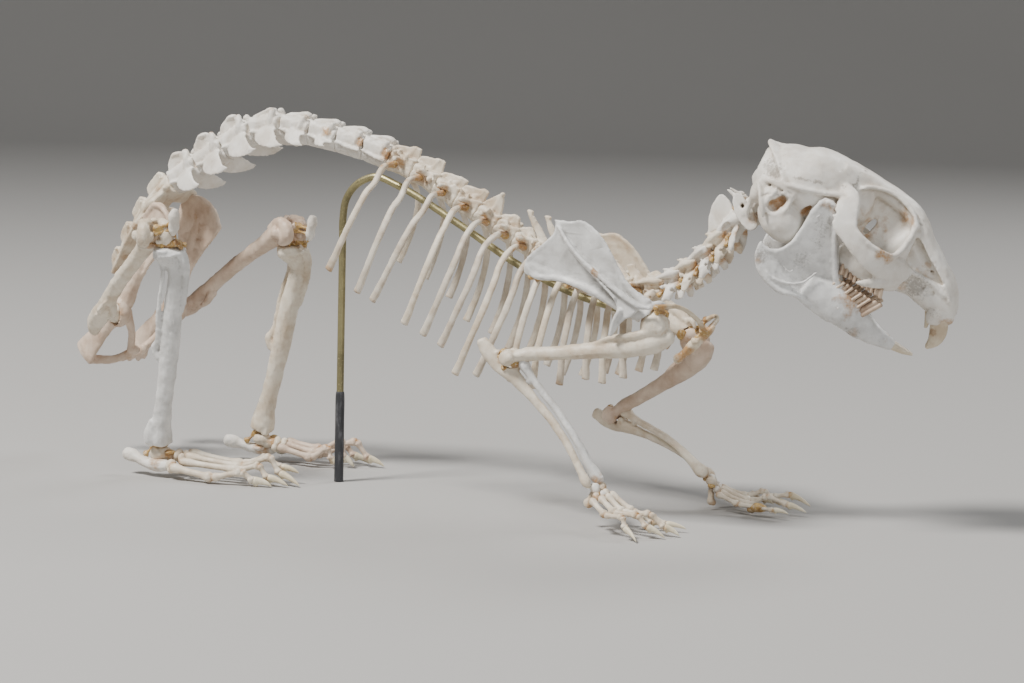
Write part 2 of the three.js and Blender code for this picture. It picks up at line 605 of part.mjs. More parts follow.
for (const [side, sign] of [["right", -1], ["left", 1]]) {
  const hip = V(...HIP[side]);
  const knee = V(...KNEE[side]);
  const plateau = V(...PLATEAU[side]);
  const ankle = V(...ANKLE[side]);
  const shin = ankle.clone().sub(plateau).normalize();
  const thighAxis = knee.clone().sub(hip).normalize();
  const outward = OUTWARD[side].clone().addScaledVector(thighAxis, -OUTWARD[side].dot(thighAxis)).normalize();
  const { pieces, hinge } = thighBone(hip, knee, outward, shin);
  const turn = degToRad(HIND_PAW_TURN[side]);
  const shinPieces = shinBone(plateau, ankle, V(Math.cos(turn), Math.sin(turn), 0));
  const under = plateau.clone().addScaledVector(shin, GAP);
  const kneeCut = sweep([[under.clone().addScaledVector(shin, -0.3), 6, 6], [under.clone().addScaledVector(shin, 8), 6, 6]], 12, hinge);
  place("thigh_bone_" + side, fuse(pieces, [kneeCut]), bone(IVORY));
  const above = sweep([[plateau.clone().addScaledVector(shin, -6), 7, 7], [plateau.clone().addScaledVector(shin, 0.3), 7, 7]], 12, hinge);
  place("shin_bone_" + side, fuse(shinPieces, [above]), bone(CHALK));
  const cap = knee.clone().add(KNEECAP[side]);
  const capLift = shin.clone().multiplyScalar(-1);
  place(
    "kneecap_" + side,
    fuse([
      sweep(
        [
          [cap.clone().addScaledVector(capLift, -2), 0.5, 0.5],
          [cap.clone().addScaledVector(capLift, -1), 1.1, 0.9],
          [cap.clone().addScaledVector(capLift, 0.9), 1.2, 1],
          [cap.clone().addScaledVector(capLift, 2), 0.7, 0.6],
        ],
        7,
        hinge,
      ),
    ]),
    bone(CHALK),
  );
  paw("hind_paw_" + side, ANKLE[side], HIND_PAW_TURN[side], hindPaw(sign), IVORY);
}

// Shoulder blades: a thin triangular plate with its raised spine, a socket and a hooked tip.
function shoulderBlade(shoulder, sign) {
  const [gx, , gz] = shoulder;
  const outline = [
    [-0.2, 3.4], [-3, 5.4], [-6, 9.6], [-9.6, 14.6], [-12.2, 16.4], [-16.5, 16], [-18.6, 14.4],
    [-22.8, 11.6], [-24.8, 8], [-23.6, 6.6], [-17, 6], [-10, 4], [-3.6, 0.9], [-1.6, 0.2],
  ].map(([x, z]) => [gx + x, gz + z]);
  const lie = (x, z) => shoulder[1] + sign * lerp(0.4, sign > 0 ? -0.6 : -1.7, THREE.MathUtils.clamp((z - gz) / 16, 0, 1));
  const ridge = [
    [gx - 17.6, gz + 15, 0.4, 0.5],
    [gx - 11, gz + 8.2, 0.5, 1.1],
    [gx - 4, gz + 2.8, 0.5, 1.5],
  ].map(([x, z, thin, proud]) => [V(x, lie(x, z) + sign * proud * 0.6, z), proud, thin]);
  const acromion = [
    [V(gx - 4.6, lie(gx, gz) + sign * 1.6, gz + 3), 0.7, 0.7],
    [V(gx - 2.4, lie(gx, gz) + sign * 2.6, gz + 2.9), 0.5, 0.6],
    [V(gx + 0.4, lie(gx, gz) + sign * 2.9, gz + 3.1), 0.4, 0.5],
  ];
  const hook = [
    [V(gx - 4.4, lie(gx, gz) + sign * 1.8, gz + 2.9), 0.5, 0.8],
    [V(gx - 5.8, lie(gx, gz) + sign * 2.8, gz + 0.6), 0.4, 0.6],
    [V(gx - 7.6, lie(gx, gz) + sign * 2.9, gz - 1.6), 0.25, 0.3],
  ];
  const neck = [[V(gx - 5, lie(gx, gz), gz + 3.2), 0.9, 1.6], [V(gx - 1.6, shoulder[1], gz + 1.6), 1.5, 2.1], [V(gx - 0.2, shoulder[1], gz + 0.9), 1.6, 2]];
  const socket = ball([gx, shoulder[1], gz], Array(3).fill(ARM_HEAD_RADIUS + ROOM), 0, 8, 6);
  const rods = [ridge, acromion, hook].map((rows) => sweep(rows, 4));
  return fuse([plate(outline, BONE_THIN, lie), ...rods, sweep(neck, 7)], [socket]);
}

function armBone(shoulder, elbow, sign) {
  const axis = elbow.clone().sub(shoulder).normalize();
  const outward = V(0, sign, 0).addScaledVector(axis, -axis.y * sign).normalize();
  const length = shoulder.distanceTo(elbow);
  const lift = axis.clone().cross(outward).normalize();
  if (lift.z < 0) lift.negate();
  const at = (share, up = 0, out = 0) =>
    shoulder.clone().addScaledVector(axis, share * length).addScaledVector(lift, up).addScaledVector(outward, out);
  const shaft = [
    [at(-0.08, -2.6), 1.5, 1.4],
    [at(0.03, -2.7), 2.1, 2.1],
    [at(0.2, -2.7), 1.7, 1.9],
    [at(0.45, -1.8), 1.35, 1.5],
    [at(0.7, -0.9), 1.3, 1.35],
    [at(0.9, 0), 1.9, 1.4],
    [at(0.985, 0), 2.3, 1.5],
  ];
  const ridge = [[at(-0.02, -0.8, 1.4), 0.9, 0.9], [at(0.34, 0.4, 0.9), 0.6, 0.6]];
  return [sweep(shaft, 7, outward), ball(shoulder.toArray(), Array(3).fill(ARM_HEAD_RADIUS)), sweep(ridge, 4, outward)];
}

for (const [side, sign] of [["right", -1], ["left", 1]]) {
  const shoulder = V(...SHOULDER[side]);
  const elbow = V(...ELBOW[side]);
  const wrist = V(...WRIST[side]);
  place("shoulder_blade_" + side, shoulderBlade(SHOULDER[side], sign), bone(CHALK));

  const axis = wrist.clone().sub(elbow).normalize();
  const upper = elbow.clone().sub(shoulder).normalize();
  const hinge = upper.clone().cross(axis).normalize();
  const front = axis.clone().cross(hinge).normalize();
  if (front.x < 0) front.negate();
  const run = elbow.distanceTo(wrist);
  const at = (share, f, h) =>
    elbow.clone().addScaledVector(axis, share * run).addScaledVector(front, f).addScaledVector(hinge, h * Math.sign(hinge.y) * sign);
  const barrel = (reach, girth) =>
    sweep([-reach, reach].map((out) => [elbow.clone().addScaledVector(hinge, out), girth, girth]), 10, front);
  const trochlea = barrel(3, 1.5 + ROOM);
  const roller = barrel(2.2, 1.5);
  const ulnaRows = [
    [at(-0.19, -2.6, 0), 1, 1.3],
    [at(-0.1, -2.6, 0), 1, 1.4],
    [at(0, -2.2, 0), 0.9, 1.5],
    [at(0.09, -1.5, 0), 1, 1.6],
    [at(0.3, -1.4, 0.3), 0.65, 1],
    [at(0.7, -1, 0.8), 0.6, 0.75],
    [at(0.97, -0.7, 1.6), 0.8, 0.9],
  ];
  const radiusRows = [
    [at(0.075, 1.5, 0), 1.3, 0.95],
    [at(0.12, 1.4, 0), 1.3, 0.9],
    [at(0.3, 1.1, -0.1), 0.85, 0.7],
    [at(0.7, 0.8, -0.5), 0.8, 0.7],
    [at(0.9, 0.6, -0.8), 1, 1],
    [at(0.985, 0.6, -0.9), 1.2, 1.2],
  ];
  const arm = armBone(shoulder, elbow, sign);
  const ulna = sweep(ulnaRows, 6, hinge);
  place("ulna_" + side, fuse([ulna], [trochlea]), bone(IVORY));
  place("radius_" + side, fuse([sweep(radiusRows, 6, hinge)], [trochlea]), bone(IVORY));
  const room = (rows) => sweep(rows.slice(0, 4).map(([p, a, b]) => [p, a + ROOM, b + ROOM]), 6, hinge);
  const radiusRoom = room([[at(-0.01, 1.5, 0), 1.3, 0.95], ...radiusRows]);
  place("arm_bone_" + side, fuse([...arm, roller], [room(ulnaRows), radiusRoom]), bone(IVORY));
  paw("fore_paw_" + side, WRIST[side], FORE_PAW_TURN[side], forePaw(sign, CARPUS_TOP[side]), IVORY);
}

// Breastbone tip between the shoulders, with the two collar bones that reach it.
place(
  "breastbone",
  fuse([
    sweep(smooth([[41.2, 0.3, 33.6, 0.5, 0.4], [39.8, 0.3, 32.4, 1.3, 0.7], [37.4, 0.4, 30.2, 1, 0.8], [34.6, 0.6, 27.4, 0.7, 0.7]], 5), 6),
  ]),
  bone(AMBER),
);
const collar = {
  right: [[36.2, -12.6, 37.8, 0.45, 0.5], [38.6, -9, 37.6, 0.4, 0.5], [40.2, -5, 35.4, 0.42, 0.5], [39.8, -1.2, 33, 0.5, 0.6]],
  left: [[34.6, 12.5, 33.05, 0.45, 0.5], [37.8, 9, 34.2, 0.4, 0.5], [39.6, 5.2, 34, 0.42, 0.5], [39.8, 1.75, 33, 0.5, 0.6]],
};
for (const side of ["right", "left"]) place("collar_bone_" + side, fuse([sweep(smooth(collar[side], 6), 5)]), bone(IVORY));

// Stand: one brass wire that rises through the loin, bends over and runs forward under the backbone.
const WIRE_X = -31;
const wireUnder = 2.5 + GAP + WIRE / 2;
const BEND_START = 48.6;
const railStart = thoraxStart - 1;
const railEnd = thoraxStart + THORAX_RUN - 2;
const railAt = (distance) => local(onBackbone(distance), 0, 0, -wireUnder);
const railSteps = 11;
const wireStations = (points) => points.map((p) => [p, WIRE / 2, WIRE / 2]);
const rail = Array.from({ length: railSteps + 1 }, (_, i) => railAt(lerp(railStart, railEnd, i / railSteps)));
const railHeading = onBackbone(railStart).along;
const bendEnd = rail[0].clone().addScaledVector(railHeading, -1.2 * GAP);
const bendCurve = new THREE.CubicBezierCurve3(
  V(WIRE_X, 0, BEND_START),
  V(WIRE_X, 0, BEND_START + 6),
  bendEnd.clone().addScaledVector(railHeading, -5.5),
  bendEnd,
);
place(
  "stand_wire_foot",
  fuse([sweep([[V(WIRE_X, 0, 0), WIRE_FOOT / 2], [V(WIRE_X, 0, WIRE_FOOT_TOP), WIRE_FOOT / 2]], 12)]),
  darkSleeve,
);
place(
  "stand_wire_upright",
  fuse([sweep([[V(WIRE_X, 0, WIRE_FOOT_TOP + GAP), WIRE / 2], [V(WIRE_X, 0, BEND_START - GAP), WIRE / 2]], 10)]),
  brass,
);
place("stand_wire_bend", fuse([sweep(wireStations(bendCurve.getPoints(8)), 7)]), brass);
place("stand_wire_rail", fuse([sweep(wireStations(rail), 7)]), brass);

// The origin is on the floor, under the middle of the whole mount.
const extent = new THREE.Box3().setFromObject(pika, true);
pika.position.set(-(extent.min.x + extent.max.x) / 2, -(extent.min.y + extent.max.y) / 2, 0);

export default pika;
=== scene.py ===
"""The mounted skeleton of a pika, crouching on a pale studio floor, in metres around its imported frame."""

import math

import bpy
import numpy as np
from mathutils import Matrix, Vector, noise


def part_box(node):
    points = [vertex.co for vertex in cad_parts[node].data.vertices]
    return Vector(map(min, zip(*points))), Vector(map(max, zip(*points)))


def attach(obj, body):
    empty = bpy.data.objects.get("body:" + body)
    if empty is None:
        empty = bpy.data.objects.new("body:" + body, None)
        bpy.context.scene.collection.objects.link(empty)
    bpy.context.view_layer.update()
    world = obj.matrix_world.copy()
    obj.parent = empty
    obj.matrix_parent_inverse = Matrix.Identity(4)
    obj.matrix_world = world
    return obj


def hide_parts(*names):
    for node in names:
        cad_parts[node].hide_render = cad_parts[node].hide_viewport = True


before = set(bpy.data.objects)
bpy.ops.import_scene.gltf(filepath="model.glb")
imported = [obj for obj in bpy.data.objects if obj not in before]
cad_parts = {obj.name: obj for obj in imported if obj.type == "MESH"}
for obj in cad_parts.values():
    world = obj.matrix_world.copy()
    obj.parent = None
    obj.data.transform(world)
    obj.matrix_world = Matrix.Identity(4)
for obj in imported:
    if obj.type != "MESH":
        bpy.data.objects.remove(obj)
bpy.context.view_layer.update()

# Studio: a pale matt floor that runs out of view, a big soft lamp high on the left,
# a weaker one on the right and one behind, and the long lens of the photograph.
# Every place in this file is in millimetres from home, 31 mm in front of the foot of the wire.
MM = 0.001
WIRE_X = -31
foot_low, foot_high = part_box("stand_wire_foot")
home = np.array([(foot_low.x + foot_high.x) / 2 - WIRE_X * MM, (foot_low.y + foot_high.y) / 2, 0])


def in_metres(points):
    return np.asarray(points, float) * MM + home


VIEW_TURN = math.radians(27)
VIEW_RISE = math.radians(7)
VIEW_ROLL = math.radians(1.4)
VIEW_RANGE = 0.45
VIEW_MIDDLE = (0, 7, 27.3)
FOCAL_PIXELS = 2542.5
PICTURE_WIDTH = 1024
SENSOR = 36

back = Vector((
    math.sin(VIEW_TURN) * math.cos(VIEW_RISE),
    -math.cos(VIEW_TURN) * math.cos(VIEW_RISE),
    math.sin(VIEW_RISE),
))
level = Vector((math.cos(VIEW_TURN), math.sin(VIEW_TURN), 0))
rise = back.cross(level)
right = level * math.cos(VIEW_ROLL) + rise * math.sin(VIEW_ROLL)
up = back.cross(right)
lens = bpy.data.cameras.new("camera")
lens.sensor_width = SENSOR
lens.lens = SENSOR * FOCAL_PIXELS / PICTURE_WIDTH
lens.clip_start = 0.01
camera = bpy.data.objects.new("camera", lens)
turn = Matrix((right, up, back)).transposed().to_4x4()
camera.matrix_world = Matrix.Translation(Vector(in_metres(VIEW_MIDDLE)) + back * VIEW_RANGE) @ turn
bpy.context.scene.collection.objects.link(camera)
bpy.context.scene.camera = camera

# the floor curves up into a wall far off, so that no edge shows behind the model
FLOOR_REACH = 1.3
WALL_BEND = 0.5
WALL_TOP = 1.1
FLOOR_SIDES = 96
FLOOR_RINGS = (0.08, 0.3, 0.65, 1)
BEND_RINGS = 11
FIRST_TILT = 0.15
FLOOR_GREY = (0.39, 0.381, 0.368, 1)
FLOOR_ROUGHNESS = 0.9
bowl = [(FLOOR_REACH * share, 0) for share in FLOOR_RINGS]
for t in np.linspace(FIRST_TILT, math.pi / 2, BEND_RINGS):
    bowl.append((FLOOR_REACH + WALL_BEND * math.sin(t), WALL_BEND * (1 - math.cos(t))))
bowl.append((FLOOR_REACH + WALL_BEND, WALL_TOP))
points = [(0, 0, 0)]
for reach, height in bowl:
    points += [
        (reach * math.cos(t), reach * math.sin(t), height) for t in np.arange(FLOOR_SIDES) * 2 * math.pi / FLOOR_SIDES
    ]
faces = [(0, 1 + k, 1 + (k + 1) % FLOOR_SIDES) for k in range(FLOOR_SIDES)]
for ring in range(len(bowl) - 1):
    low = 1 + ring * FLOOR_SIDES
    faces += [(
        low + k, low + FLOOR_SIDES + k, low + FLOOR_SIDES + (k + 1) % FLOOR_SIDES, low + (k + 1) % FLOOR_SIDES,
    ) for k in range(FLOOR_SIDES)]
floor_mesh = bpy.data.meshes.new("floor")
floor_mesh.from_pydata(points, [], faces)
floor_mesh.shade_smooth()
floor = bpy.data.objects.new("floor", floor_mesh)
bpy.context.scene.collection.objects.link(floor)
floor_paint = bpy.data.materials.new("pale_floor")
floor_paint.use_nodes = True
floor_shader = floor_paint.node_tree.nodes["Principled BSDF"]
floor_shader.inputs["Base Color"].default_value = FLOOR_GREY
floor_shader.inputs["Roughness"].default_value = FLOOR_ROUGHNESS
floor_mesh.materials.append(floor_paint)


AIM_HEIGHT = 0.03
SKY_COLOUR = (0.86, 0.88, 0.9, 1)
SKY_STRENGTH = 0.24


def soft_lamp(name, place, size, power, colour):
    lamp = bpy.data.lights.new(name, "AREA")
    lamp.shape = "DISK"
    lamp.size = size
    lamp.energy = power
    lamp.color = colour
    holder = bpy.data.objects.new(name, lamp)
    holder.location = place
    aim = Vector((0, 0, AIM_HEIGHT)) - Vector(place)
    holder.rotation_euler = aim.to_track_quat("-Z", "Y").to_euler()
    bpy.context.scene.collection.objects.link(holder)


soft_lamp("key_lamp", (-0.3, -0.42, 0.75), size=0.2, power=14, colour=(1, 0.98, 0.95))
soft_lamp("fill_lamp", (0.7, -0.5, 0.35), size=0.4, power=2.4, colour=(0.93, 0.96, 1))
soft_lamp("back_lamp", (0.3, 0.7, 0.65), size=0.35, power=4, colour=(1, 1, 1))
sky = bpy.data.worlds.new("soft_white")
sky.use_nodes = True
sky_light = sky.node_tree.nodes["Background"]
sky_light.inputs["Color"].default_value = SKY_COLOUR
sky_light.inputs["Strength"].default_value = SKY_STRENGTH
bpy.context.scene.world = sky

# Wire: one length of brass rod, bent over like a crook, that rises through the loin and runs
# forward under the backbone, which is glued to it. Its foot stands in a short dark sleeve.
# The brass is dull and olive with age, drawn lengthwise, with darker tarnish in patches.


def spline(points, at):
    """Points on a smooth curve through the given rows, at shares of its run from 0 to 1."""
    rows = np.asarray(points, float)
    rows = np.vstack([2 * rows[0] - rows[1], rows, 2 * rows[-1] - rows[-2]])
    result = []
    for share in np.atleast_1d(at):
        whole = min(max(share, 0), 1) * (len(rows) - 3)
        i = min(int(whole), len(rows) - 4)
        t = whole - i
        p = rows[i:i + 4]
        gaps = [max(np.linalg.norm((p[k + 1] - p[k])[:3]) ** 0.5, 1e-3) for k in range(3)]
        leave = (p[1] - p[0]) / gaps[0] - (p[2] - p[0]) / (gaps[0] + gaps[1]) + (p[2] - p[1]) / gaps[1]
        reach = (p[2] - p[1]) / gaps[1] - (p[3] - p[1]) / (gaps[1] + gaps[2]) + (p[3] - p[2]) / gaps[2]
        leave, reach = leave * gaps[1], reach * gaps[1]
        bend, twist = 3 * (p[2] - p[1]) - 2 * leave - reach, 2 * (p[1] - p[2]) + leave + reach
        result.append(p[1] + leave * t + bend * t * t + twist * t ** 3)
    return np.array(result)


def unit(v):
    v = np.asarray(v, float)
    return v / max(np.linalg.norm(v), 1e-9)


THINNEST = 0.03
CAP_TILTS = (28, 55, 80)


def bar(rows, steps=14, sides=14, across=(0, 1, 0), square=2.0, domed=0.6):
    """The closed skin of a bar through rows of x, y, z, half width along across, and half depth."""
    rows = [tuple(row) if len(row) == 5 else (*row, row[3]) for row in rows]
    run = spline(rows, np.linspace(0, 1, steps + 1))
    angles = np.arange(sides) * 2 * math.pi / sides
    c, s = np.cos(angles), np.sin(angles)
    c, s = np.sign(c) * np.abs(c) ** (2 / square), np.sign(s) * np.abs(s) ** (2 / square)
    rings = []
    for i, row in enumerate(run):
        along = unit(run[min(i + 1, steps), :3] - run[max(i - 1, 0), :3])
        side = unit(np.asarray(across, float) - along * np.dot(across, along))
        rings.append((row[:3], along, side, np.cross(along, side), max(row[3], THINNEST), max(row[4], THINNEST)))
    stack = [(centre, side, high, wide, deep) for centre, along, side, high, wide, deep in rings]
    for end, sign in ((0, -1), (-1, 1)):
        centre, along, side, high, wide, deep = rings[end]
        for tilt in CAP_TILTS:
            push = sign * math.sin(math.radians(tilt)) * domed * min(wide, deep)
            shrink = math.cos(math.radians(tilt))
            cap = (centre + along * push, side, high, wide * shrink, deep * shrink)
            stack.insert(0, cap) if sign < 0 else stack.append(cap)
    points = [
        centre + np.outer(c * wide, side) + np.outer(s * deep, high) for centre, side, high, wide, deep in stack
    ]
    top = (len(stack) - 1) * sides
    faces = [
        (low + k, low + (k + 1) % sides, low + sides + (k + 1) % sides, low + sides + k)
        for low in range(0, top, sides) for k in range(sides)
    ]
    faces += [tuple(range(sides))[::-1], tuple(range(top, top + sides))]
    return np.vstack(points), faces


def put(name, part, paint):
    """Sets one finished piece in the scene."""
    mesh = bpy.data.meshes.new(name)
    mesh.from_pydata(in_metres(part[0]).tolist(), [], part[1])
    mesh.shade_smooth()
    mesh.materials.append(paint)
    piece = bpy.data.objects.new(name, mesh)
    bpy.context.scene.collection.objects.link(piece)
    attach(piece, "root")
    return piece


def add_node(tree, kind, settings=None, **inputs):
    node = tree.nodes.new(kind)
    for key, value in (settings or {}).items():
        setattr(node, key, value)
    for key, value in inputs.items():
        socket = node.inputs[key.replace("_", " ")]
        if isinstance(value, bpy.types.NodeSocket):
            tree.links.new(value, socket)
        else:
            socket.default_value = value
    return node


def fill(tree, sockets, values):
    for socket, value in zip(sockets, values):
        if isinstance(value, bpy.types.NodeSocket):
            tree.links.new(value, socket)
        else:
            socket.default_value = value


def maths(tree, operation, first, second=0.0, clamp=False):
    node = add_node(tree, "ShaderNodeMath", {"operation": operation, "use_clamp": clamp})
    fill(tree, node.inputs, (first, second))
    return node.outputs[0]


def blend_colours(tree, share, first, second, mode="MIX"):
    node = add_node(tree, "ShaderNodeMix", {"data_type": "RGBA", "blend_type": mode})
    fill(tree, (node.inputs[0], node.inputs[6], node.inputs[7]), (share, first, second))
    return node.outputs[2]


def spread(tree, value, low, high, from_low=0.0, from_high=1.0):
    """Turns from_low to from_high into low to high, and holds it there beyond."""
    node = add_node(
        tree, "ShaderNodeMapRange", Value=value, From_Min=from_low, From_Max=from_high, To_Min=low, To_Max=high,
    )
    return node.outputs[0]


def mottling(tree, place, scale, detail=3.0, roughness=0.55):
    node = add_node(tree, "ShaderNodeTexNoise", None, Vector=place, Scale=scale, Detail=detail, Roughness=roughness)
    return node.outputs["Fac"]


def new_paint(name):
    paint = bpy.data.materials.new(name)
    paint.use_nodes = True
    return paint, paint.node_tree, paint.node_tree.nodes["Principled BSDF"]


def dress(tree, shader, colour, roughness, height, strength, depth):
    """Feeds a paint its colour, its roughness, and a relief of so many millimetres."""
    tree.links.new(colour, shader.inputs["Base Color"])
    tree.links.new(roughness, shader.inputs["Roughness"])
    relief = add_node(tree, "ShaderNodeBump", None, Strength=strength, Distance=depth * MM, Height=height)
    tree.links.new(relief.outputs["Normal"], shader.inputs["Normal"])


WIRE = 1.3
WIRE_FOOT = 1.7
WIRE_FOOT_TOP = 16.5
WIRE_START = 0.4
BEND_START = 48.6
RAIL_UNDER = 3.45

BACKBONE = [
    (-83.6, 4.9, 34.6), (-77.6, 3, 42.4), (-69.4, 0.5, 50), (-58.9, 0, 56.8), (-47.3, 0, 62.6),
    (-34.2, 0, 61.6), (-18.7, 0, 57.5), (-5.5, 0, 51), (6.2, 0, 44.7), (18.2, 0, 40.2), (28.5, 0, 38.7),
    (34.8, 0.3, 40.8), (41.2, 1.1, 46.4), (44.6, 1.7, 51.0), (46.4, 1.95, 54.2),
]
SACRUM_RUN = 24.6
LOIN_RUN = 48.9
THORAX_RUN = 54.5
THORAX_START = SACRUM_RUN + LOIN_RUN
RIBS = 14
BACKBONE_STEPS = 900
backbone_line = spline(BACKBONE, np.linspace(0, 1, BACKBONE_STEPS))
backbone_run = np.concatenate([[0], np.cumsum(np.linalg.norm(np.diff(backbone_line, axis=0), axis=1))])


def on_backbone(distance):
    """The seat at a distance along the backbone: its centre, and the ways forward, left and up."""
    centre, ahead, behind = [
        np.array([np.interp(distance + step, backbone_run, backbone_line[:, k]) for k in range(3)])
        for step in (0, 0.4, -0.4)
    ]
    along = unit(ahead - behind)
    left = unit(np.array([0, 1, 0]) - along * along[1])
    return centre, along, left, np.cross(along, left)


def rail_at(distance):
    centre, along, left, high = on_backbone(distance)
    return centre - high * RAIL_UNDER


brass, tree, shader = new_paint("dull_brass")
here = add_node(tree, "ShaderNodeTexCoord").outputs["Object"]
tarnish = mottling(tree, here, 140, 5, 0.62)
drawn = mottling(tree, add_node(tree, "ShaderNodeMapping", None, Vector=here, Scale=(1, 1, 0.08)).outputs[0], 5200, 2)
specks = mottling(tree, here, 2600, 4, 0.7)
tone = blend_colours(tree, spread(tree, tarnish, 0, 1, 0.4, 0.64), (0.36, 0.32, 0.17, 1), (0.19, 0.165, 0.085, 1))
tone = blend_colours(tree, spread(tree, specks, 0, 0.7, 0.56, 0.7), tone, (0.5, 0.45, 0.26, 1))
rough = spread(tree, maths(tree, "ADD", tarnish, drawn), 0.36, 0.62, 0.75, 1.25)
dress(tree, shader, tone, rough, maths(tree, "ADD", drawn, specks), 0.4, 0.04)
tree.links.new(spread(tree, tarnish, 0.9, 0.6, 0.4, 0.65), shader.inputs["Metallic"])

sleeve, tree, shader = new_paint("dark_sleeve")
here = add_node(tree, "ShaderNodeTexCoord").outputs["Object"]
scuffs = mottling(
    tree, add_node(tree, "ShaderNodeMapping", None, Vector=here, Scale=(1, 1, 0.3)).outputs[0], 900, 5, 0.7,
)
tone = blend_colours(tree, spread(tree, scuffs, 0, 0.6, 0.5, 0.68), (0.03, 0.031, 0.035, 1), (0.2, 0.2, 0.21, 1))
dress(tree, shader, tone, spread(tree, scuffs, 0.38, 0.66, 0.35, 0.65), scuffs, 0.5, 0.08)

rail_start, rail_end = THORAX_START - 1, THORAX_START + THORAX_RUN - 2
bend_end = rail_at(rail_start) - on_backbone(rail_start)[1] * 0.36
crook = [(WIRE_X, 0, BEND_START - 1), (-30.4, 0, 51.2), (-28.4, 0, 53.9), (-25.4, 0, 55.4), bend_end]
wire_path = [(WIRE_X, 0, WIRE_START), (WIRE_X, 0, 12), (WIRE_X, 0, 24), (WIRE_X, 0, 36), (WIRE_X, 0, 44)]
wire_path += [tuple(p) for p in crook]
wire_path += [tuple(rail_at(d)) for d in np.linspace(rail_start, rail_end, 16)[1:]]
wire = put("brass_wire", bar([(*p, WIRE / 2) for p in wire_path], 220, 20, (0, 1, 0), domed=0.5), brass)
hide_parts("stand_wire_upright", "stand_wire_bend", "stand_wire_rail")
half = WIRE_FOOT / 2
sleeve_rows = [(WIRE_X, 0, z, half * girth) for z, girth in (
    (0.03, 1), (3, 0.99), (7, 1.0), (11, 0.97), (14, 0.99), (15.6, 0.96), (16.2, 0.9), (WIRE_FOOT_TOP, 0.8),
)]
sleeve_piece = put("wire_sleeve", bar(sleeve_rows, 60, 24, domed=0.02), sleeve)
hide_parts("stand_wire_foot")

# Backbone: thirty-two separate vertebrae and the fused sacrum, of dry bone from ivory to chalk
# white. Grease and old ligament have yellowed them round the joints, and painted shade darkens
# their hollows. Each has a waisted body under an arch, with a crest on top and processes at its sides.


def make_aged_bone():
    group = bpy.data.node_groups.new("aged_bone", "ShaderNodeTree")
    for label, kind, value in (
        ("Pale", "NodeSocketColor", (0.8, 0.76, 0.68, 1)),
        ("Deep", "NodeSocketColor", (0.6, 0.5, 0.38, 1)),
        ("Stain", "NodeSocketColor", (0.5, 0.26, 0.07, 1)),
        ("Mottle", "NodeSocketFloat", 0.5),
        ("Dust", "NodeSocketFloat", 0.6),
        ("Gloss", "NodeSocketFloat", 0.5),
    ):
        group.interface.new_socket(label, in_out="INPUT", socket_type=kind).default_value = value
    for label, kind in (
        ("Color", "NodeSocketColor"), ("Roughness", "NodeSocketFloat"), ("Height", "NodeSocketFloat"),
    ):
        group.interface.new_socket(label, in_out="OUTPUT", socket_type=kind)
    given, result = group.nodes.new("NodeGroupInput").outputs, group.nodes.new("NodeGroupOutput").inputs

    def times(first, second, hold=False):
        return maths(group, "MULTIPLY", first, second, hold)

    place = add_node(group, "ShaderNodeTexCoord").outputs["Object"]
    hollow, stained, grimed = [
        add_node(group, "ShaderNodeAttribute", {"attribute_name": mark}).outputs["Fac"]
        for mark in ("hollow", "stain", "grime")
    ]
    broad = mottling(group, place, 160, 4, 0.6)
    patches = mottling(group, place, 520, 5, 0.6)
    grain = mottling(group, place, 2400, 4, 0.65)
    pores = add_node(group, "ShaderNodeTexVoronoi", None, Vector=place, Scale=1500.0).outputs["Distance"]
    # grease in soft clouds
    clouds = maths(group, "ADD", times(broad, 0.6), times(patches, 0.4))
    tint = times(spread(group, clouds, 0, 1, 0.42, 0.62), given["Mottle"], True)
    colour = blend_colours(group, tint, given["Pale"], given["Deep"])
    # fine dark pores, in some places only
    pore = times(spread(group, pores, 1, 0, 0, 0.2), spread(group, patches, 0, 0.5, 0.5, 0.62))
    colour = blend_colours(group, pore, colour, given["Deep"], "MULTIPLY")
    # painted shade that darkens the hollows, stronger in some patches
    hollow_shading = times(spread(group, hollow, 0, 1, 0.06, 0.9), given["Dust"], True)
    hollow_shading = times(hollow_shading, spread(group, patches, 0.6, 1.1, 0.35, 0.6), True)
    colour = blend_colours(group, hollow_shading, colour, given["Deep"], "MULTIPLY")
    # grey grime in seams and on rough faces
    speckled = maths(group, "ADD", grimed, times(maths(group, "SUBTRACT", grain, 0.5), 1.6))
    sooty = times(spread(group, speckled, 0, 0.75, 0.35, 0.8), spread(group, grimed, 0, 1, 0, 0.2), True)
    colour = blend_colours(group, sooty, colour, (0.34, 0.31, 0.28, 1), "MULTIPLY")
    # dried ligament and glue round the joints, amber where it is thick
    ragged = maths(group, "ADD", stained, times(maths(group, "SUBTRACT", patches, 0.5), 1.5))
    amber = times(spread(group, ragged, 0, 1, 0.36, 0.74), spread(group, stained, 0, 1, 0, 0.25), True)
    thick = blend_colours(group, spread(group, grain, 0, 0.7, 0.4, 0.65), given["Stain"], given["Deep"])
    colour = blend_colours(group, times(amber, 0.85), colour, thick)
    group.links.new(colour, result["Color"])
    rough = maths(group, "SUBTRACT", spread(group, grain, 0.5, 0.78, 0.3, 0.7), times(amber, 0.2))
    rough = maths(group, "SUBTRACT", rough, times(given["Gloss"], 0.22), True)
    group.links.new(rough, result["Roughness"])
    height = maths(group, "ADD", times(grain, 0.35), times(patches, 0.45))
    height = maths(group, "SUBTRACT", height, times(pore, 0.5))
    height = maths(group, "ADD", height, times(amber, patches))
    group.links.new(height, result["Height"])
    return group


aged_bone = make_aged_bone()
OLD_LIGAMENT = (0.42, 0.2, 0.045)
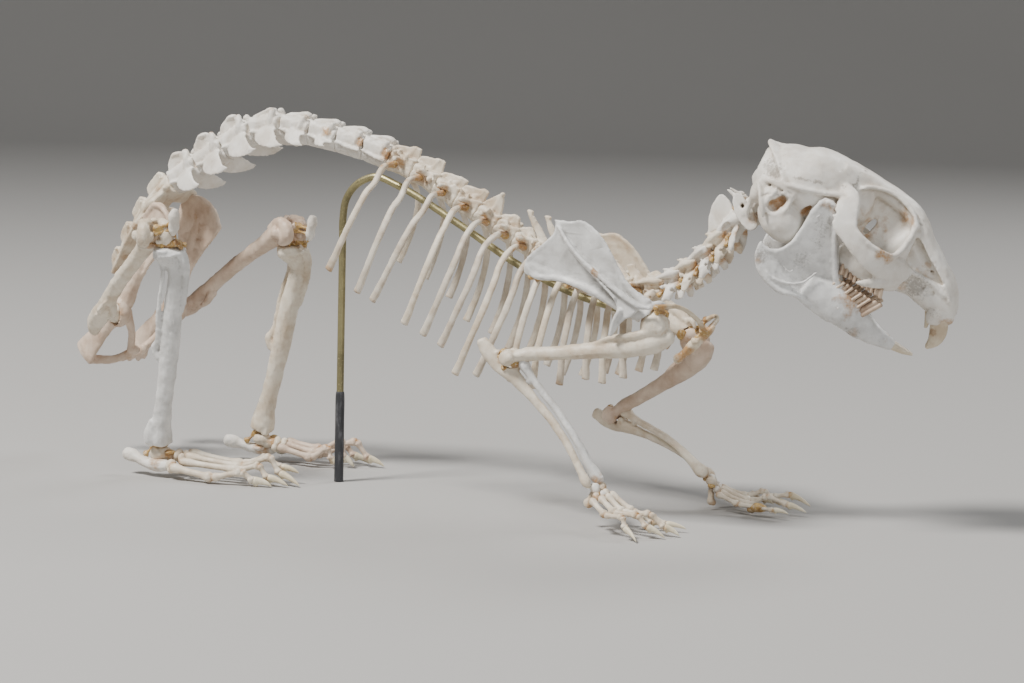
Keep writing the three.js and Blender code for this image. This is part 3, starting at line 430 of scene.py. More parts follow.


# the setting after the mottle is how strongly painted shade darkens the bone's hollows
def bone_paint(name, pale, deep, mottle=0.5, hollow_shade=0.8, gloss=0.5, relief=0.1, stain=OLD_LIGAMENT):
    paint, tree, shader = new_paint(name)
    age = add_node(tree, "ShaderNodeGroup", {"node_tree": aged_bone}, Mottle=mottle, Dust=hollow_shade, Gloss=gloss)
    fill(tree, (age.inputs["Pale"], age.inputs["Deep"], age.inputs["Stain"]), ((*pale, 1), (*deep, 1), (*stain, 1)))
    dress(tree, shader, *age.outputs, 0.7, relief)
    return paint


ivory = bone_paint("ivory_bone", (0.76, 0.69, 0.57), (0.47, 0.35, 0.23), 0.75, 0.9)
chalk = bone_paint("chalk_bone", (0.8, 0.77, 0.71), (0.5, 0.42, 0.33), 0.5, 0.85)
greasy = bone_paint("yellowed_bone", (0.73, 0.64, 0.49), (0.42, 0.29, 0.16), 0.9, 1.0)


def knob(centre, radii, turn=(0, 0, 0), sides=16, bands=10):
    """An egg-shaped lump, with half sizes along its own turned axes."""
    tilts = [math.pi * band / bands - math.pi / 2 for band in range(1, bands)]
    angles = [2 * math.pi * k / sides for k in range(sides)]
    points = [
        (0, 0, -1),
        *((math.cos(t) * math.cos(a), math.cos(t) * math.sin(a), math.sin(t)) for t in tilts for a in angles),
        (0, 0, 1),
    ]
    faces = [(0, 1 + (k + 1) % sides, 1 + k) for k in range(sides)]
    for low in range(1, 1 + (bands - 2) * sides, sides):
        faces += [(
            low + k, low + (k + 1) % sides, low + sides + (k + 1) % sides, low + sides + k,
        ) for k in range(sides)]
    low, last = 1 + (bands - 2) * sides, len(points) - 1
    faces += [(low + k, low + (k + 1) % sides, last) for k in range(sides)]
    turned = Matrix.Rotation(math.radians(turn[2]), 3, "Z") @ Matrix.Rotation(math.radians(turn[1]), 3, "Y")
    turned = np.array(turned @ Matrix.Rotation(math.radians(turn[0]), 3, "X"))
    return (np.array(points) * radii) @ turned.T + np.asarray(centre, float), faces


def flat_bone(outline, thick, lie=None, fine=4):
    """A plate with a smooth outline in the x and z plane, bent sideways to y = lie(x, z)."""
    wrapped = np.array([outline[-1], *outline, outline[0], outline[1]], float)
    ring = []
    for i in range(len(outline)):
        for t in np.arange(fine) / fine:
            pull = (-t + 2 * t * t - t ** 3, 2 - 5 * t * t + 3 * t ** 3, t + 4 * t * t - 3 * t ** 3, t ** 3 - t * t)
            ring.append(np.array(pull) / 2 @ wrapped[i:i + 4])
    ring = np.array(ring)
    total = len(ring)
    points = np.vstack([
        np.column_stack([ring[:, 0], np.full(total, half), ring[:, 1]]) for half in (-thick / 2, thick / 2)
    ])
    if lie:
        points[:, 1] += [lie(x, z) for x, z in zip(points[:, 0], points[:, 2])]
    area = np.sum(ring[:, 0] * np.roll(ring[:, 1], -1) - np.roll(ring[:, 0], -1) * ring[:, 1])
    order = list(range(total)) if area > 0 else list(range(total))[::-1]
    faces = [tuple(order), tuple(total + k for k in order[::-1])]
    faces += [(b, a, a + total, b + total) for a, b in zip(order, order[1:] + order[:1])]
    return points, faces


def seated(parts, centre, forward, left, high):
    """Parts drawn in x forward, y left, z up, set down on a seat."""
    ways = np.array([forward, left, high], float)
    return [(points @ ways + np.asarray(centre, float), faces) for points, faces in parts]


def together(parts):
    points, faces, first = [], [], 0
    for corner, sides in parts:
        points.append(corner)
        faces += [tuple(k + first for k in face) for face in sides]
        first += len(corner)
    return np.vstack(points), faces


def grown(parts, grain=0.2, rounds=2, cuts=(), keep=0.5):
    """One bone with soft joins, from overlapping closed parts, with the cuts hollowed out of it."""

    def bare_object(pieces):
        mesh = bpy.data.meshes.new("part")
        points, faces = together(pieces)
        mesh.from_pydata(points.tolist(), [], faces)
        thing = bpy.data.objects.new("part", mesh)
        bpy.context.scene.collection.objects.link(thing)
        return thing

    def melt(thing):
        step = thing.modifiers.new("melt", "REMESH")
        step.mode = "VOXEL"
        step.voxel_size = grain

    things = [bare_object(parts)]
    melt(things[0])
    if cuts:
        things.append(bare_object(cuts))
        melt(things[1])
        carve = things[0].modifiers.new("carve", "BOOLEAN")
        carve.operation = "DIFFERENCE"
        carve.object = things[1]
        carve.solver = "FAST"
        melt(things[0])
    soften = things[0].modifiers.new("soften", "SMOOTH")
    soften.factor = 0.5
    soften.iterations = rounds
    if keep < 1:
        thin = things[0].modifiers.new("thin", "DECIMATE")
        thin.ratio = keep
    bpy.context.view_layer.update()
    mesh = bpy.data.meshes.new_from_object(things[0].evaluated_get(bpy.context.evaluated_depsgraph_get()))
    points = np.zeros(len(mesh.vertices) * 3)
    mesh.vertices.foreach_get("co", points)
    faces = [tuple(face.vertices) for face in mesh.polygons]
    bpy.data.meshes.remove(mesh)
    for thing in things:
        mesh = thing.data
        bpy.data.objects.remove(thing)
        bpy.data.meshes.remove(mesh)
    return points.reshape(-1, 3), faces


DEEP_HOLLOW = 0.2
# how often the lumps of a bone's skin come to the millimetre, and their share of its roughness
LUMPS = ((0.55, 1), (1.7, 0.6), (4.1, 0.3))
# the seed that gives every bone the same lumps on each run
LUMP_SEED = 3
noise.seed_set(LUMP_SEED)


def hollowness(mesh, points, rounds=10):
    """How far each point lies in a hollow, from 0 on open bone to 1 deep in a cleft."""
    edges = np.zeros(len(mesh.edges) * 2, int)
    mesh.edges.foreach_get("vertices", edges)
    a, b = edges.reshape(-1, 2).T
    total = len(points)
    count = np.maximum(np.bincount(a, minlength=total) + np.bincount(b, minlength=total), 1)
    smooth = points.copy()
    for _ in range(rounds):
        near = [np.bincount(a, smooth[b, k], total) + np.bincount(b, smooth[a, k], total) for k in range(3)]
        smooth = (smooth + np.array(near).T / count[:, None]) / 2
    normals = np.zeros(total * 3)
    mesh.vertices.foreach_get("normal", normals)
    sunk = np.sum((smooth - points) * normals.reshape(-1, 3), axis=1)
    return np.clip(sunk / DEEP_HOLLOW, 0, 1)


def set_bone(name, part, paint, stains=(), rough=0.05, grime=()):
    """Puts in a bone, lumpy by rough millimetres; stains and grime are rows of x, y, z, reach, strength."""
    points, faces = part
    if rough:
        points = points + np.array([
            sum((noise.noise_vector(Vector(p) * often) * rough * share for often, share in LUMPS), Vector((0, 0, 0)))
            for p in points
        ])
    bone = put(name, (points, faces), paint)
    wet, dirty = np.zeros(len(points)), np.zeros(len(points))
    for marks, level in ((stains, wet), (grime, dirty)):
        for x, y, z, reach, strength in marks:
            gap = np.linalg.norm(points - (x, y, z), axis=1)
            np.maximum(level, strength * np.clip(1.3 - gap / reach, 0, 1), out=level)
    # the hollow mark drives the painted shade in the hollows of the bone paint
    for label, values in (("hollow", hollowness(bone.data, points)), ("stain", wet), ("grime", dirty)):
        bone.data.attributes.new(label, "FLOAT", "POINT").data.foreach_set("value", values.astype(np.float32))
    return bone


def shares(count, run, last_to_first):
    """Lengths that change evenly from first to last and fill the run."""
    weights = np.linspace(1, last_to_first, count)
    return weights * run / weights.sum()


def vertebra_body(length, wide, tall, sag=0.0):
    half = length / 2 - 0.1
    rows = [
        (-half, 0, 0, wide * 1.03, tall * 1.03), (-half * 0.72, 0, 0, wide * 0.97, tall * 0.95),
        (0, 0, -sag, wide * 0.8, tall * 0.78), (half * 0.72, 0, 0, wide * 0.97, tall * 0.95),
        (half, 0, 0, wide * 1.03, tall * 1.03),
    ]
    return bar(rows, 16, 18, domed=0.12)


VERTEBRA_GRIME = [(-1.6, -1.6, -0.4, 1.5, 0.45), (1.4, 1.2, 2.2, 1.5, 0.45), (0.4, -2, -1.4, 1.5, 0.45)]


def set_vertebra(name, seat, parts, cuts, paint, glue):
    centre, along, left, high = seat
    stains, grime = [
        [(*(centre + along * x + left * y + high * z), reach, strength) for x, y, z, reach, strength in rows]
        for rows in (glue, VERTEBRA_GRIME)
    ]
    made = grown(seated(parts, *seat), 0.18, 1, seated(cuts, *seat))
    return set_bone(name, made, paint, stains, 0.12, grime)


# the sacrum: four vertebrae grown into one, its front end winged where the hip bones hold it
sacrum_parts = []
sacrum_run = 0
for i, length in enumerate(shares(4, SACRUM_RUN, 1.25)):
    seat = on_backbone(sacrum_run + length / 2)
    wide, tall = 1.15 + 0.4 * i, 1.05 + 0.35 * i
    crest = 1.9 + 0.55 * i
    drawn_here = [
        vertebra_body(length + 0.6, wide, tall),
        bar([
            (-0.5 * length, 0, tall * 0.7, wide * 0.62, 0.8), (0.5 * length, 0, tall * 0.8, wide * 0.72, 0.9),
        ], 4, 12),
        flat_bone([
            (-0.4 * length, 0.6), (-0.42 * length, crest), (-0.1 * length, crest + 0.7),
            (0.28 * length, crest + 0.5), (0.36 * length, 0.8),
        ], 0.75),
        bar([(-0.28 * length, 0, crest, 0.3), (0.22 * length, 0, crest + 0.55, 0.42)], 4, 8),
    ]
    for side in (-1, 1):
        drawn_here.append(bar([
            (-0.5 * length, side * wide * 0.9, 0.1, 0.8, 0.5), (0.5 * length, side * wide * 1.15, 0.1, 0.9, 0.6),
        ], 4, 10))
        drawn_here.append(bar([
            (0.1 * length, side * 0.8, tall, 0.4), (0.3 * length, side * 1.1, tall + 0.9, 0.35),
        ], 4, 8))
        if i == 3:
            drawn_here.append(bar([
                (0.2, side * 1.8, -0.2, 2, 1.1), (0.5, side * 3.3, -0.5, 2.3, 1.0), (0.3, side * 4.7, -0.9, 2.2, 0.9),
                (0.1, side * 5.6, -1.3, 1.9, 0.8),
            ], 8, 12, (1, 0, 0)))
        elif i == 2:
            drawn_here.append(bar([
                (0.4, side * 1.5, -0.2, 1.6, 0.8), (0.7, side * 3, -0.7, 1.8, 0.7), (0.9, side * 4.6, -1.1, 1.6, 0.6),
            ], 6, 12, (1, 0, 0)))
    sacrum_parts += seated(drawn_here, *seat)
    sacrum_run += length
sacrum_stains = [(-69, 0, 51, 3, 0.6), (-75, -3, 44, 3, 0.5), (-82, 4, 36, 3, 0.5), (-72, 4, 48, 3, 0.5)]
sacrum = set_bone("sacrum_bone", grown(sacrum_parts, 0.2, 2), ivory, sacrum_stains, 0.08)
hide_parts("sacrum")

# the loin: five vertebrae with broad pointed side processes that hang down and forward, then
# three ribless ones, each arch a broad block with concave flanks that overhang the body
# each row: how far the side process reaches out, forward and down, and its half width at the root
LOIN_WINGS = [
    (4.3, 2.6, 3.6, 1.9), (4.6, 3.0, 3.8, 2.1), (4.6, 3.4, 3.6, 2.2), (4.4, 3.6, 3.0, 1.9), (3.7, 2.4, 1.6, 1.4),
    (3.0, 1.2, 0.8, 1.0), None, None,
]
# each row: height of the crest over the body's middle, and how far its top leans forward
LOIN_CRESTS = [(5.4, -0.7), (5.55, -0.6), (5.4, 0), (4.1, 0.9), (3.9, 1.3), (3.9, 1.4), (3.9, 1.4), (4.0, 1.5)]
distance = SACRUM_RUN
for i, length in enumerate(shares(8, LOIN_RUN, 0.8)):
    wide, tall = 2.45 - 0.05 * i, 1.9 - 0.03 * i
    top, lean = LOIN_CRESTS[i]
    end = 0.47 * length
    parts = [
        vertebra_body(length, wide * 0.78, tall, 0.15),
        # the arch: its flanks pinch in at the middle and flare at both ends
        bar([
            (-end, 0, 1.3, wide * 0.86, 1.3), (-0.25 * length, 0, 1.4, wide * 0.8, 1.35),
            (0.1 * length, 0, 1.4, wide * 0.84, 1.35), (0.42 * length, 0, 1.3, wide * 0.98, 1.35),
            (end, 0, 1.2, wide * 0.98, 1.25),
        ], 14, 24, square=3.2, domed=0.1),
        flat_bone([
            (-0.46 * length, 1.6), (-0.5 * length, top * 0.66), (-0.38 * length, top * 0.84),
            (lean - 0.9, top * 0.97), (lean, top), (lean + 0.8, top * 0.97),
            (max(lean + 1, 0.34 * length), top * (0.68 if i < 3 else 0.86)), (0.49 * length, 1.8),
        ], 0.6),
        # the flat rim along the top, heavier toward the front
        bar([
            (-0.42 * length, 0, top * 0.76, 0.4, 0.3), (lean - 0.8, 0, top * 0.92, 0.5, 0.34),
            (lean + 0.1, 0, top * 0.94, 0.75, 0.46), (lean + 0.9, 0, top * 0.88, 0.7, 0.5),
        ], 12, 10),
        bar([(-0.2 * length, 0, 2.3, 1.5, 0.7), (0.2 * length, 0, 2.5, 1.3, 0.8)], 6, 12),
        bar([(-0.42 * length, 0, -tall * 0.75, 0.5, 0.5), (0.4 * length, 0, -tall * 0.75, 0.5, 0.5)], 4, 8),
    ]
    cuts = []
    knobs = 1.0 if i < 3 else 0.9 if i < 4 else 0.72
    for side in (-1, 1):
        parts += [
            # sharp lower edge of the flank
            bar([
                (-end, side * wide * 0.88, 0.45, 0.3, 0.28), (-0.2 * length, side * wide * 0.84, 0.2, 0.3, 0.28),
                (0.2 * length, side * wide * 0.95, 0.1, 0.34, 0.3), (end, side * wide * 1.06, 0.2, 0.3, 0.3),
            ], 12, 10),
            # stout ridge up the front of the flank to the knob that clasps the vertebra ahead
            bar([
                (0.22 * length, side * wide * 0.78, 1.0, 0.55 * knobs, 0.5),
                (0.3 * length, side * wide * 0.8, 2.2, 0.7 * knobs, 0.55),
                (0.36 * length, side * 1.6, 3.2, 0.75 * knobs, 0.6),
                (0.34 * length, side * 1.4, 3.9 * knobs + 0.2, 0.66 * knobs, 0.55),
            ], 12, 12, (1, 0, 0)),
            bar([(-0.2 * length, side * 0.9, 2.4, 0.6, 0.5), (-0.5 * length, side * 0.95, 2.6, 0.45, 0.42)], 5, 10),
            knob((end, side * wide * 0.9, 1.5), (0.35, 0.4, 0.7)),
        ]
        cuts += [
            knob((-0.52 * length, side * wide * 1.05, 0.75), (0.55, 0.9, 0.42)),
            knob((-0.12 * length, side * (wide + 0.75), 2.1), (0.32 * length, 1.1, 1.2), (0, -10, 0)),
            knob((-0.16 * length, side * 1.55, 3.9), (0.26 * length, 1.0, 1.3), (0, -12, 0)),
        ]
        if LOIN_WINGS[i]:
            out, ahead, down, half = LOIN_WINGS[i]
            rows = [
                (0.1, side * wide * 0.7, 0.6, half * 1.2, 0.5),
                (0.1 + ahead * 0.15, side * (wide * 0.75 + out * 0.18), -down * 0.15, half * 1.25, 0.36),
                (0.1 + ahead * 0.45, side * (wide * 0.3 + out * 0.6), -down * 0.5, half * 0.98, 0.27),
                (0.1 + ahead * 0.85, side * out * 0.95, -down * 0.76, half * 0.62, 0.22),
                (0.1 + ahead * 1.15, side * out, -down * 0.92, half * 0.3, 0.16),
                (0.1 + ahead * 1.45, side * out, -down, half * 0.08, 0.12),
            ]
            parts.append(bar(rows, 16, 14, (1, 0, 0.35)))
    glue = [
        (0.5 * length, -1.8, 0.4, 1.2, 0.45), (-0.45 * length, -1.6, 2, 1.1, 0.35),
        (0.36 * length, -1.3, 4.2 * knobs, 1.1, 0.6),
    ]
    if i == 5:
        glue = [(0.15 * length, -2, 1.8, 1.5, 0.8)]
    if i in (6, 7):
        glue = [(0.45 * length, -2, 1.4, 1.5, 0.8), (-0.4 * length, 1.8, 1.5, 1.6, 0.7)]
    vertebra = set_vertebra(
        f"loin_vertebra_{i + 1}", on_backbone(distance + length / 2), parts, cuts, chalk, glue,
    )
    distance += length
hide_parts("loin")

# the thorax: fourteen vertebrae that carry ribs; the crests rise forward at first, then lean back
# each row: height of the crest, how far its top leans forward, and its half length at the top
THORAX_CRESTS = [
    (4.3, 1.3, 1.3), (4.6, 1.0, 1.3), (4.1, 1.3, 1.3), (4.5, 1.5, 1.1), (5.9, 0.2, 0.5), (3.9, 0.1, 1.0),
    (3.6, -0.4, 0.8), (6.3, -5.2, 0.7), (7.0, -5.2, 0.7), (5.6, -3.8, 0.5), (5.0, -3.4, 0.42), (4.8, -3, 0.42),
    (4.7, -2.5, 0.42), (4.6, -1.6, 0.8),
]
crumbs = np.random.default_rng(11)
FLANK_CRUMBS = 7
thorax_lengths = shares(RIBS, THORAX_RUN, 0.5)
for i, length in enumerate(thorax_lengths):
    wide, tall = 1.75 - 0.02 * i, 1.75 - 0.035 * i
    top, lean, half = THORAX_CRESTS[i]
    parts = [
        vertebra_body(length, wide, tall, 0.1),
        bar([
            (-0.46 * length, 0, 1.35, wide * 0.85, 0.9), (0.46 * length, 0, 1.3, wide * 0.95, 0.95),
        ], 6, 14, square=2.4),
        flat_bone([
            (-0.46 * length, 1.5), (-0.52 * length, top * (0.7 if i in (0, 1, 2, 3, 5, 6) else 0.4)),
            (lean - half * 0.9, top * 0.9), (lean - half * 0.3, top), (lean + half * 0.8, top),
            (lean + half, top * 0.9), (0.42 * length, 1.6),
        ], 0.55 if i < 4 else 0.7),
        bar([
            (0, 0, 1.9, 0.75, 0.6), (lean * 0.9, 0, top * 0.8, 0.42, 0.42), (lean, 0, top - 0.15, 0.45, 0.36),
        ], 8, 10),
    ]
    cuts = []
    for side in (-1, 1):
        parts += [
            bar([
                (0.1 * length, side * 1.0, 1.3, 0.7, 0.6), (-0.05 * length, side * 2.5, 1.5, 0.55, 0.55),
                (-0.1 * length, side * 3.2, 1.5, 0.5, 0.5),
            ], 7, 10, (1, 0, 0)),
            bar([(0.15 * length, side * 1.1, 1.7, 0.55, 0.5), (0.55 * length, side * 1.15, 2.4, 0.3, 0.3)], 5, 9),
            bar([(-0.2 * length, side * 0.8, 1.9, 0.5, 0.4), (-0.56 * length, side * 0.8, 2.1, 0.32, 0.3)], 5, 9),
        ]
        cuts.append(knob((-0.5 * length, side * wide * 1.05, 0.9), (0.45, 0.6, 0.45)))
        # crumbs of bone and gristle along the flank
        for _ in range(FLANK_CRUMBS):
            size = 0.24 + 0.22 * crumbs.random()
            parts.append(knob((
                length * (crumbs.random() - 0.5), side * (0.7 + 1.5 * crumbs.random()), 0.6 + 2.1 * crumbs.random(),
            ), (size * 1.3, size, size), (0, 90 * crumbs.random(), 0), 10, 7))
    glue = [(0, -2.6, 0.4, 1.9, 0.9), (0, 2.6, 0.4, 1.9, 0.8), (0.5 * length, -1, 1.8, 0.9, 0.5)]
    vertebra = set_vertebra(
        f"chest_vertebra_{i + 1}", on_backbone(distance + length / 2), parts, cuts, ivory, glue,
    )
    distance += length
neck_start = distance

# the neck: five plain vertebrae with short ragged side processes, the second one from the
# head with its hatchet blade, and the thin ring that carries the skull, turned with the head
WING_CRUMBS = 6
ARCH_CRUMBS = 9
NECK_SHARES = (3.5, 3.35, 3.3, 3.3, 3.35, 3.7, 2.3)
neck_lengths = np.array(NECK_SHARES) * (backbone_run[-1] - neck_start - 0.2) / sum(NECK_SHARES)
RING_TURN, RING_RISE = math.radians(17), math.radians(38)
for i, length in enumerate(neck_lengths):
    seat = on_backbone(distance + length / 2)
    wide, tall = (2.1, 1.4) if i < 5 else (2.0, 1.5)
    parts = [
        vertebra_body(length + 0.2, wide * 0.8, tall, 0.1),
        bar([
            (-0.46 * length, 0, 1.4, wide * 0.8, 1.0), (0, 0, 1.5, wide * 0.78, 1.0),
            (0.46 * length, 0, 1.3, wide, 1.0),
        ], 8, 18, square=2.8),
    ]
    cuts = []
    if i < 5:
        crest = (3.3, 2.9, 2.9, 3.0, 3.1)[i]
        parts.append(flat_bone([
            (-0.4 * length, 1.8), (-0.3 * length, crest * 0.9), (0.1 * length, crest), (0.3 * length, crest * 0.88),
            (0.42 * length, 1.8),
        ], 0.45))
        for side in (-1, 1):
            parts += [
                # joint faces that overlap like tiles along the top
                bar([
                    (-0.6 * length, side * 1.55, 1.95, 0.75, 0.4), (-0.1 * length, side * 1.75, 1.8, 0.8, 0.6),
                    (0.3 * length, side * 1.8, 1.5, 0.8, 0.7), (0.56 * length, side * 1.75, 1.2, 0.6, 0.5),
                ], 10, 14),
                bar([
                    (0.15 * length, side * 1.5, 0.2, 1.1, 0.5), (-0.05 * length, side * 2.5, -0.4, 0.9, 0.36),
                    (-0.3 * length, side * 3.1, -1.3, 0.75, 0.32), (-0.6 * length, side * 3.4, -2.0, 0.4, 0.26),
                ], 12, 14, (1, 0, -0.5)),
            ]
            if i > 0:
                parts.append(bar([
                    (0.3 * length, side * 1.4, -0.6, 0.8, 0.4), (0.3 * length, side * 2.2, -1.8, 0.85, 0.3),
                    (0.2 * length, side * 2.5, -2.6 - 0.2 * (i == 1), 0.5, 0.22),
                ], 8, 12, (1, 0, 0)))
            cuts += [
                knob((0.1 * length, side * 2.1, 0.35), (1.5, 0.5, 0.45)),
                knob((-0.5 * length, side * 1.9, 0.9), (0.55, 0.9, 0.6)),
            ]
            cuts += [
                knob((0.5 * length, side * 2.3, -0.2), (0.4, 0.9, 0.7)),
                knob((-0.05 * length, side * 2.6, -1.0), (0.36, 0.8, 0.3)),
            ]
            for _ in range(WING_CRUMBS):
                size = 0.22 + 0.2 * crumbs.random()
                parts.append(knob((
                    length * (0.5 * crumbs.random() - 0.6), side * (2.8 + 0.4 * crumbs.random()),
                    -0.6 - 1.6 * crumbs.random(),
                ), (size, size * 0.8, size * 1.3), (0, 90 * crumbs.random(), 0), 10, 7))
            for _ in range(ARCH_CRUMBS):
                size = 0.26 + 0.26 * crumbs.random()
                parts.append(knob((
                    length * (crumbs.random() - 0.5), side * (1.3 + 1.2 * crumbs.random()),
                    2.4 * crumbs.random() - 0.4,
                ), (size * 1.4, size, size * 0.8), (0, 90 * crumbs.random(), 0), 10, 7))
            parts.append(bar([
                (0.2 * length, side * 1.6, 1.8, 0.5), (0.1 * length, side * 1.9, 2.5, 0.34),
                (-0.1 * length, side * 2.0, 3.0, 0.16),
            ], 6, 8, (1, 0, 0)))
    elif i == 5:
        parts += [
            flat_bone([
                (-0.98 * length, 3.3), (-0.7 * length, 4.1), (-0.2 * length, 5.3), (0.35 * length, 5.9),
                (0.72 * length, 5.6), (0.78 * length, 4.4), (0.6 * length, 2.6), (0.3 * length, 1.6),
                (-0.45 * length, 1.7), (-0.6 * length, 2.7),
            ], 0.6),
            bar([
                (-1.0 * length, 0, 3.2, 0.42, 0.4), (-0.7 * length, 0, 3.7, 0.4, 0.4),
                (-0.2 * length, 0, 5.0, 0.34, 0.3), (0.6 * length, 0, 5.6, 0.32, 0.3),
            ], 10, 8),
            bar([(0.4 * length, 0, 0, 0.9, 0.9), (0.75 * length, 0, 0.4, 0.7, 0.7)], 4, 10),
        ]
        for side in (-1, 1):
            parts += [
                bar([
                    (-0.65 * length, side * 1.6, 1.7, 0.75, 0.5), (0.1 * length, side * 1.8, 1.1, 0.9, 0.8),
                    (0.45 * length, side * 1.8, 0.2, 0.9, 1.1),
                ], 8, 12),
                bar([
                    (0.1 * length, side * 1.7, -0.4, 0.9, 0.4), (-0.4 * length, side * 2.8, -1.4, 0.8, 0.3),
                    (-0.75 * length, side * 3.1, -2.2, 0.4, 0.24),
                ], 8, 12, (1, 0, 0)),
            ]
            cuts.append(knob((-0.1 * length, side * 2.3, 1.0), (1.0, 0.5, 0.6)))
    else:
        along = np.array([
            math.cos(RING_RISE) * math.cos(RING_TURN), math.cos(RING_RISE) * math.sin(RING_TURN), math.sin(RING_RISE),
        ])
        left = np.array([-math.sin(RING_TURN), math.cos(RING_TURN), 0])
        seat = (seat[0] + along * 0.1, along, left, np.cross(along, left))
        parts = [
            bar([(-0.7, 0, -2.1, 1.2, 0.55), (0.7, 0, -2.0, 1.4, 0.55)], 5, 14),
            bar([(-0.6, 0, 2.4, 1.3, 0.5), (0.6, 0, 2.6, 1.4, 0.5)], 5, 14),
        ]
        for side in (-1, 1):
            parts += [
                bar([
                    (0, side * 0.9, -2.2, 1.0, 0.6), (0, side * 2.3, -1.4, 1.3, 0.8),
                    (0.1, side * 2.7, 0.6, 1.2, 0.8), (0.1, side * 2.1, 2.1, 1.0, 0.6),
                    (0, side * 0.9, 2.6, 0.8, 0.5),
                ], 18, 14, (1, 0, 0)),
                flat_bone([
                    (-1.2, -2.6), (-1.5, -0.6), (-1.2, 1.6), (-0.4, 3.0), (0.4, 3.7), (1.1, 3.0), (1.3, 0.6),
                    (1.0, -1.6), (0.2, -3.0),
                ], 0.55, lambda x, z, s=side: s * (3.7 - 0.16 * z - 0.15 * x)),
                bar([(0, side * 2.4, 0, 1.1, 1.5), (0, side * 3.6, 0, 1.0, 1.4)], 5, 12, (1, 0, 0)),
                bar([
                    (0.3, side * 2.4, 2.8, 0.45), (0.1, side * 2.3, 4.0, 0.3), (-0.2, side * 2.2, 4.9, 0.2),
                ], 6, 8, (1, 0, 0)),
            ]
            cuts += [knob((0.3, side * 3.4, 1.3), (0.36, 1.8, 0.46)), knob((1.4, side * 1.4, -0.6), (0.7, 1.2, 1.3))]
        cuts.append(bar([(-3, 0, 0.4, 1.5, 1.7), (3, 0, 0.4, 1.6, 1.8)], 3, 16))
    glue = [
        (0.5 * length, -2.0, 0.2, 1.5, 0.75), (-0.3 * length, -2.3, -0.4, 1.1, 0.6),
        (0.4 * length, 2.0, -0.2, 2.0, 0.9), (0.5 * length, 0, -1.5, 1.4, 0.7),
    ]
    if i > 4:
        glue = [(0.2 * length, -3.4, -1.6, 1.7, 0.75), (-0.4 * length, -1.5, 1.2, 1.2, 0.7), (0, 2.6, -1.0, 2.0, 0.8)]
    vertebra = set_vertebra(
        f"neck_vertebra_{i + 1}", seat, parts, cuts, chalk if i in (1, 3, 5, 6) else ivory, glue,
    )
    distance += length
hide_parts("neck")

# Ribs: fourteen pairs of slender flattened bars. Their gristle ends and most of the breastbone
# are lost, so they hang free, cut off flat below. Each head sits on the joint between two
# vertebrae in a bead of amber glue, and from the fourth pair on the shaft turns at an angle.
rib_bone = bone_paint("rib_bone", (0.71, 0.65, 0.55), (0.42, 0.33, 0.24), 0.8, 0.7, 0.6, 0.07)


def ease(low, high, value):
    t = min(max((value - low) / (high - low), 0), 1)
    return t * t * (3 - 2 * t)


# where the first ribs of the near side end, forward and up
NEAR_TIPS = [
    (-27.9, 39.5), (-22.0, 36.0), (-18.9, 34.7), (-12.5, 31.1), (-8.7, 29.5), (-5.2, 27.9), (-2.3, 23.2), (1.7, 23.3),
]


def rib_rows(i, side):
    share = i / (RIBS - 1)
    seat = THORAX_START + thorax_lengths[:i].sum() + thorax_lengths[i] * (0.3 + 0.34 * min(1, i / 4))
    head = on_backbone(seat)[0]
    sway = math.sin(i * 2.3 + side) * 0.5
    drop = 17.8 + 4 * math.sin(math.pi * min(1, share * 1.15)) - 3.5 * share * share + sway
    back = (1 if side < 0 else 0.7) * (6.8 - 6.4 * ease(0.45, 1, share)) + sway
    bow = 10.5 - 3.9 * ease(0.45, 1, share)
    angle = ease(1.5, 5, i)
    x, z = head[0], head[2]
    if side < 0 and i < len(NEAR_TIPS):
        back, drop = x - NEAR_TIPS[i][0], z - NEAR_TIPS[i][1]
    # the shaft goes out before it goes back, which keeps it nearly straight to the eye
    pull = 2.1 if side < 0 and i < len(NEAR_TIPS) else (1.5 if side > 0 else 0.6)
    return [
        (x + 0.1, side * 1.5, z + 0.1, 0.62, 0.66), (x - 0.3, side * 2.6, z + 0.5 * angle, 0.42, 0.46),
        (x - 0.7, side * (3.9 + 0.6 * angle), z + 0.35 * angle - 0.4, 0.5, 0.56),
        (
            x - 0.14 * back - 0.8 + 0.45 * pull, side * (0.6 + 0.14 * angle) * bow, z - (0.16 - 0.06 * angle) * drop,
            0.42, 0.56,
        ),
        (x - 0.26 * back - 0.9 + 0.8 * pull, side * (0.82 + 0.08 * angle) * bow, z - 0.25 * drop, 0.4, 0.6),
        (x - 0.45 * back - 0.8 + pull, side * bow, z - 0.43 * drop, 0.36, 0.6),
        (x - 0.7 * back - 0.5 + 0.7 * pull, side * bow * 1.04, z - 0.7 * drop, 0.35, 0.58),
        (x - 0.9 * back - 0.1 + 0.25 * pull, side * bow * 0.98, z - 0.9 * drop, 0.4, 0.66),
        (x - back, side * bow * 0.94, z - drop, 0.44, 0.72),
    ]


SIDES = ((-1, "right"), (1, "left"))
for side, side_name in SIDES:
    for i in range(RIBS):
        rows = rib_rows(i, side)
        stains = [(*rows[0][:3], 2.4, 1.0), (*rows[2][:3], 1.2, 0.6), (*rows[-1][:3], 1.3, 0.45)]
        paint = rib_bone if i % 3 else ivory
        rib = set_bone(
            f"rib_{i + 1}_{side_name}", bar(rows, 44, square=2.3, domed=0.12), paint, stains, 0.07,
        )
    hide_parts(f"thorax_{side_name}")

# Hip bones: each a thin flared wing, a ring round a large window, and the deep socket between
# them. They are cast in one with the seat bone behind, and lean on the sacrum at the wing.
rosy = bone_paint("rosy_bone", (0.68, 0.55, 0.44), (0.42, 0.28, 0.19), 0.7, 0.9)
PELVIS = (-75.1, 2.25, 28)
PELVIS_TURN = math.radians(-17)
HALF_PELVIS = 7.3
WING_LENGTH = 21.5
WING_PITCH = math.radians(58)
pelvis_seat = (
    PELVIS, (math.cos(PELVIS_TURN), math.sin(PELVIS_TURN), 0), (-math.sin(PELVIS_TURN), math.cos(PELVIS_TURN), 0),
    (0, 0, 1),
)


